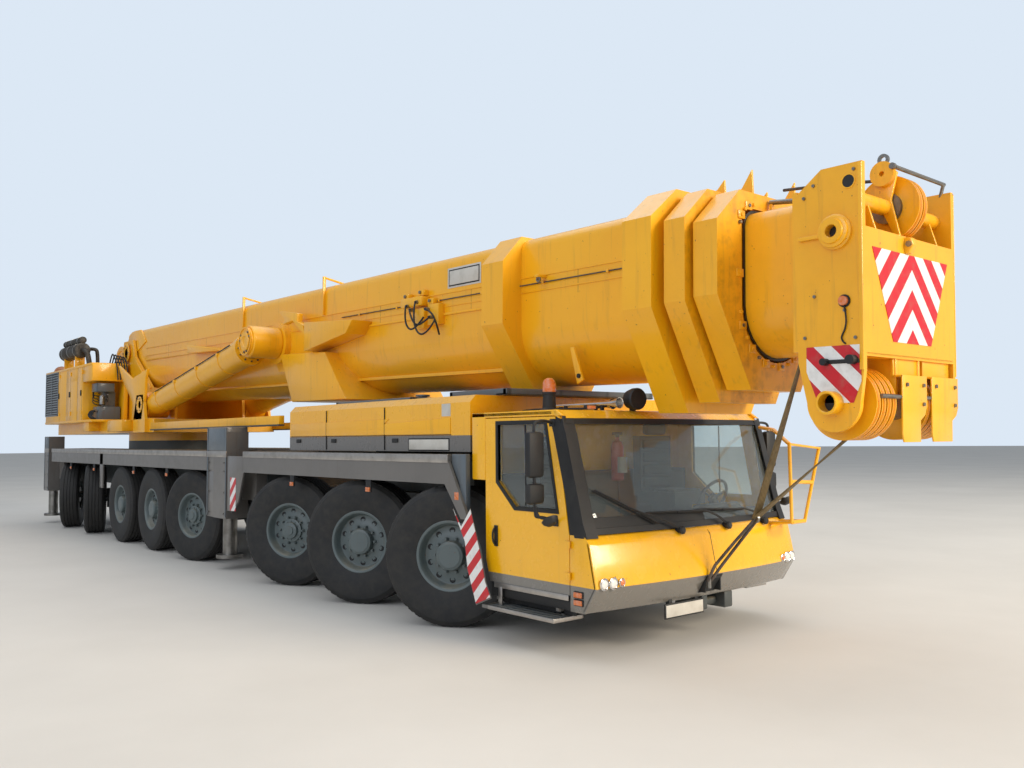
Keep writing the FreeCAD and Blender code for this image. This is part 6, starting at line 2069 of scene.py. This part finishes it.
@dataclass
class Rigging(SubAssembly):
    """Taut slings and ropes that hold the boom's head down to the tow hitch."""

    def strap(self, piece: Piece, start: Point, end: Point, width: float, thick: float,
              finish: int) -> None:
        """Adds a flat taut strap between two points, drawn with a slight twist."""
        a, b = Vector(start), Vector(end)
        way = (b - a).normalized()
        flat = way.cross(Vector((1.0, 0.0, 0.3))).normalized()
        deep = way.cross(flat).normalized()
        loops = []
        for i in range(13):
            share = i / 12
            turn = Matrix.Rotation(0.9 * share, 3, way)
            across, out = turn @ flat * (width / 2), turn @ deep * (thick / 2)
            at = a + (b - a) * share
            loops.append([tuple(at + across + out), tuple(at - across + out), tuple(at - across - out),
                          tuple(at + across - out)])
        piece.loft(loops, finish)

    def build(self) -> None:
        """Builds the slings, their shackles and the two thin ropes."""
        join = (8.6, 0.05, 1.13)
        piece = self.start("head_slings", "carrier", "sling", "rope", "steel")
        self.strap(piece, (9.56, -0.66, 2.46), join, 0.066, 0.014, 0)
        self.strap(piece, (9.75, -0.28, 1.88), join, 0.06, 0.014, 0)
        piece.tube([(8.6, 0.05, 1.13), (8.42, -0.01, 0.92), (8.25, -0.08, 0.7), (8.2, -0.12, 0.56)], 0.014,
                   1, False)
        piece.tube([(8.6, 0.09, 1.13), (8.44, 0.04, 0.92), (8.28, -0.02, 0.7), (8.2, -0.08, 0.56)], 0.014,
                   1, False)
        piece.hoop(0.022, 0.042, -0.012, 0.012, join, (0.3, 1.0, 0.0), 2, 24)
        piece.rod((8.2, -0.1, 0.5), (8.2, -0.1, 0.6), 0.018, 2, 16)
        piece.done("steel")


@dataclass
class Studio:
    """Pale floor, soft lights and the camera at the photograph's place."""

    eye: Point = (13.329, -6.628, 1.835)
    yaw: float = 140.206
    pitch: float = 3.442
    roll: float = -0.444
    focal_px: float = 906.2
    width_px: int = 1024
    sensor_mm: float = 36.0

    def camera(self) -> None:
        """Sets the camera by its fitted place and turn."""
        yaw, pitch, roll = (math.radians(v) for v in (self.yaw, self.pitch, self.roll))
        ahead = Vector((math.cos(yaw) * math.cos(pitch), math.sin(yaw) * math.cos(pitch), math.sin(pitch)))
        right = Vector((math.sin(yaw), -math.cos(yaw), 0.0))
        above = right.cross(ahead)
        across = math.cos(roll) * right + math.sin(roll) * above
        up = math.cos(roll) * above - math.sin(roll) * right
        lens = bpy.data.cameras.new("camera")
        lens.sensor_width = self.sensor_mm
        lens.lens = self.focal_px / self.width_px * self.sensor_mm
        lens.clip_end = 400.0
        holder = bpy.data.objects.new("camera", lens)
        turn = Matrix((across, up, -ahead)).transposed().to_4x4()
        holder.matrix_world = Matrix.Translation(self.eye) @ turn
        bpy.context.scene.collection.objects.link(holder)
        bpy.context.scene.camera = holder

    def floor(self) -> None:
        """Lays the pale floor, drawn as a flat concrete disc."""
        p = Pattern("floor_pale_concrete", Roughness=0.85)
        p.coat("#d6d2ca", (p.mask(0.35, 0.3, 0.7), "#cdc9c1"))
        p.relief(0.0008, 60.0, 3.0)
        part = bmesh.new()
        bmesh.ops.create_circle(part, cap_ends=True, segments=96, radius=160.0)
        mesh = bpy.data.meshes.new("floor")
        part.to_mesh(mesh)
        part.free()
        mesh.materials.append(p.material)
        made = bpy.data.objects.new("floor", mesh)
        bpy.context.scene.collection.objects.link(made)

    def lights(self) -> None:
        """Hangs a warm low key from ahead of the crane and a cool sky all round."""
        lamps = (
            ("key", (38.0, 10.0, 15.0), 16.0, 13500.0, "#fff1dc"),
            ("fill", (14.0, -34.0, 16.0), 26.0, 4200.0, "#eef3ff"),
            ("top", (0.0, 0.0, 26.0), 30.0, 3200.0, "#ffffff"),
        )
        for name, place, size, power, tint in lamps:
            light = bpy.data.lights.new(name, "AREA")
            light.size = size
            light.energy = power
            light.color = linear(tint)[:3]
            holder = bpy.data.objects.new(name, light)
            aim = Vector((2.0, 0.0, 2.0)) - Vector(place)
            holder.rotation_euler = aim.to_track_quat("-Z", "Y").to_euler()
            holder.location = place
            bpy.context.scene.collection.objects.link(holder)
        world = bpy.data.worlds.new("studio")
        world.use_nodes = True
        tree = world.node_tree
        tree.nodes.clear()
        seen = add_node(tree, "LightPath").outputs
        straight = add_node(tree, "Math", {"operation": "MAXIMUM"}, {
            0: seen["Is Camera Ray"], 1: seen["Is Transmission Ray"]})
        sky = add_node(tree, "Background", feeds={"Color": "#dfe9f6", "Strength": 0.55})
        wall = add_node(tree, "Background", feeds={"Color": "#dce8f5", "Strength": 1.0})
        both = add_node(tree, "MixShader", feeds={
            0: straight.outputs[0], 1: sky.outputs[0], 2: wall.outputs[0]})
        add_node(tree, "OutputWorld", feeds={"Surface": both.outputs[0]})
        bpy.context.scene.world = world

    def build(self) -> None:
        """Builds the studio."""
        self.camera()
        self.floor()
        self.lights()
        bpy.context.scene.view_settings.view_transform = "Standard"


@dataclass
class Frame(SubAssembly):
    """The CAD nodes that stay in sight, each given its real finish."""

    def build(self) -> None:
        """Gives every shown CAD node its material, by how its name starts."""
        uses = {
            "chassis_frame": "chassis", "driveline": "chassis", "knuckle": "chassis", "decks": "grey",
            "engine_hood": "hood", "cab_shell": "two_tone", "cab_door": "two_tone", "cab_glass": "glass",
            "cab_fittings": "grey", "cab_interior": "cloth", "upper_frame": "yellow",
            "upper_housing": "yellow", "hoist_drum": "steel", "crane_cab": "yellow",
            "luff_barrels": "yellow", "luff_rods": "yellow", "boom_base": "yellow", "boom_tele": "greasy",
            "outrigger_beam": "grey", "outrigger_jack": "steel", "head_sheaves": "greasy",
            "wheel": "rubber",
        }
        for name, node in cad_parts.items():
            use = next(use for start, use in uses.items() if name.startswith(start))
            node.data.materials.clear()
            node.data.materials.append(self.finishes[use])


def main() -> None:
    """Builds the crane's looks and the studio in order."""
    logging.basicConfig(level=logging.INFO, format="%(name)s: %(message)s")
    finishes = Finishes()
    Frame(finishes).build()
    groups = (Wheels, Decks, Hood, CabBody, Cab, CabOutside, Jacks, Housing, Upper, UpperIron, CraneCab,
              Rods, Cylinders, BoomIron, Boom, Head, Tail, Rigging)
    for group in groups:
        group(finishes).build()
    Studio().build()


if __name__ == "__main__":
    main()
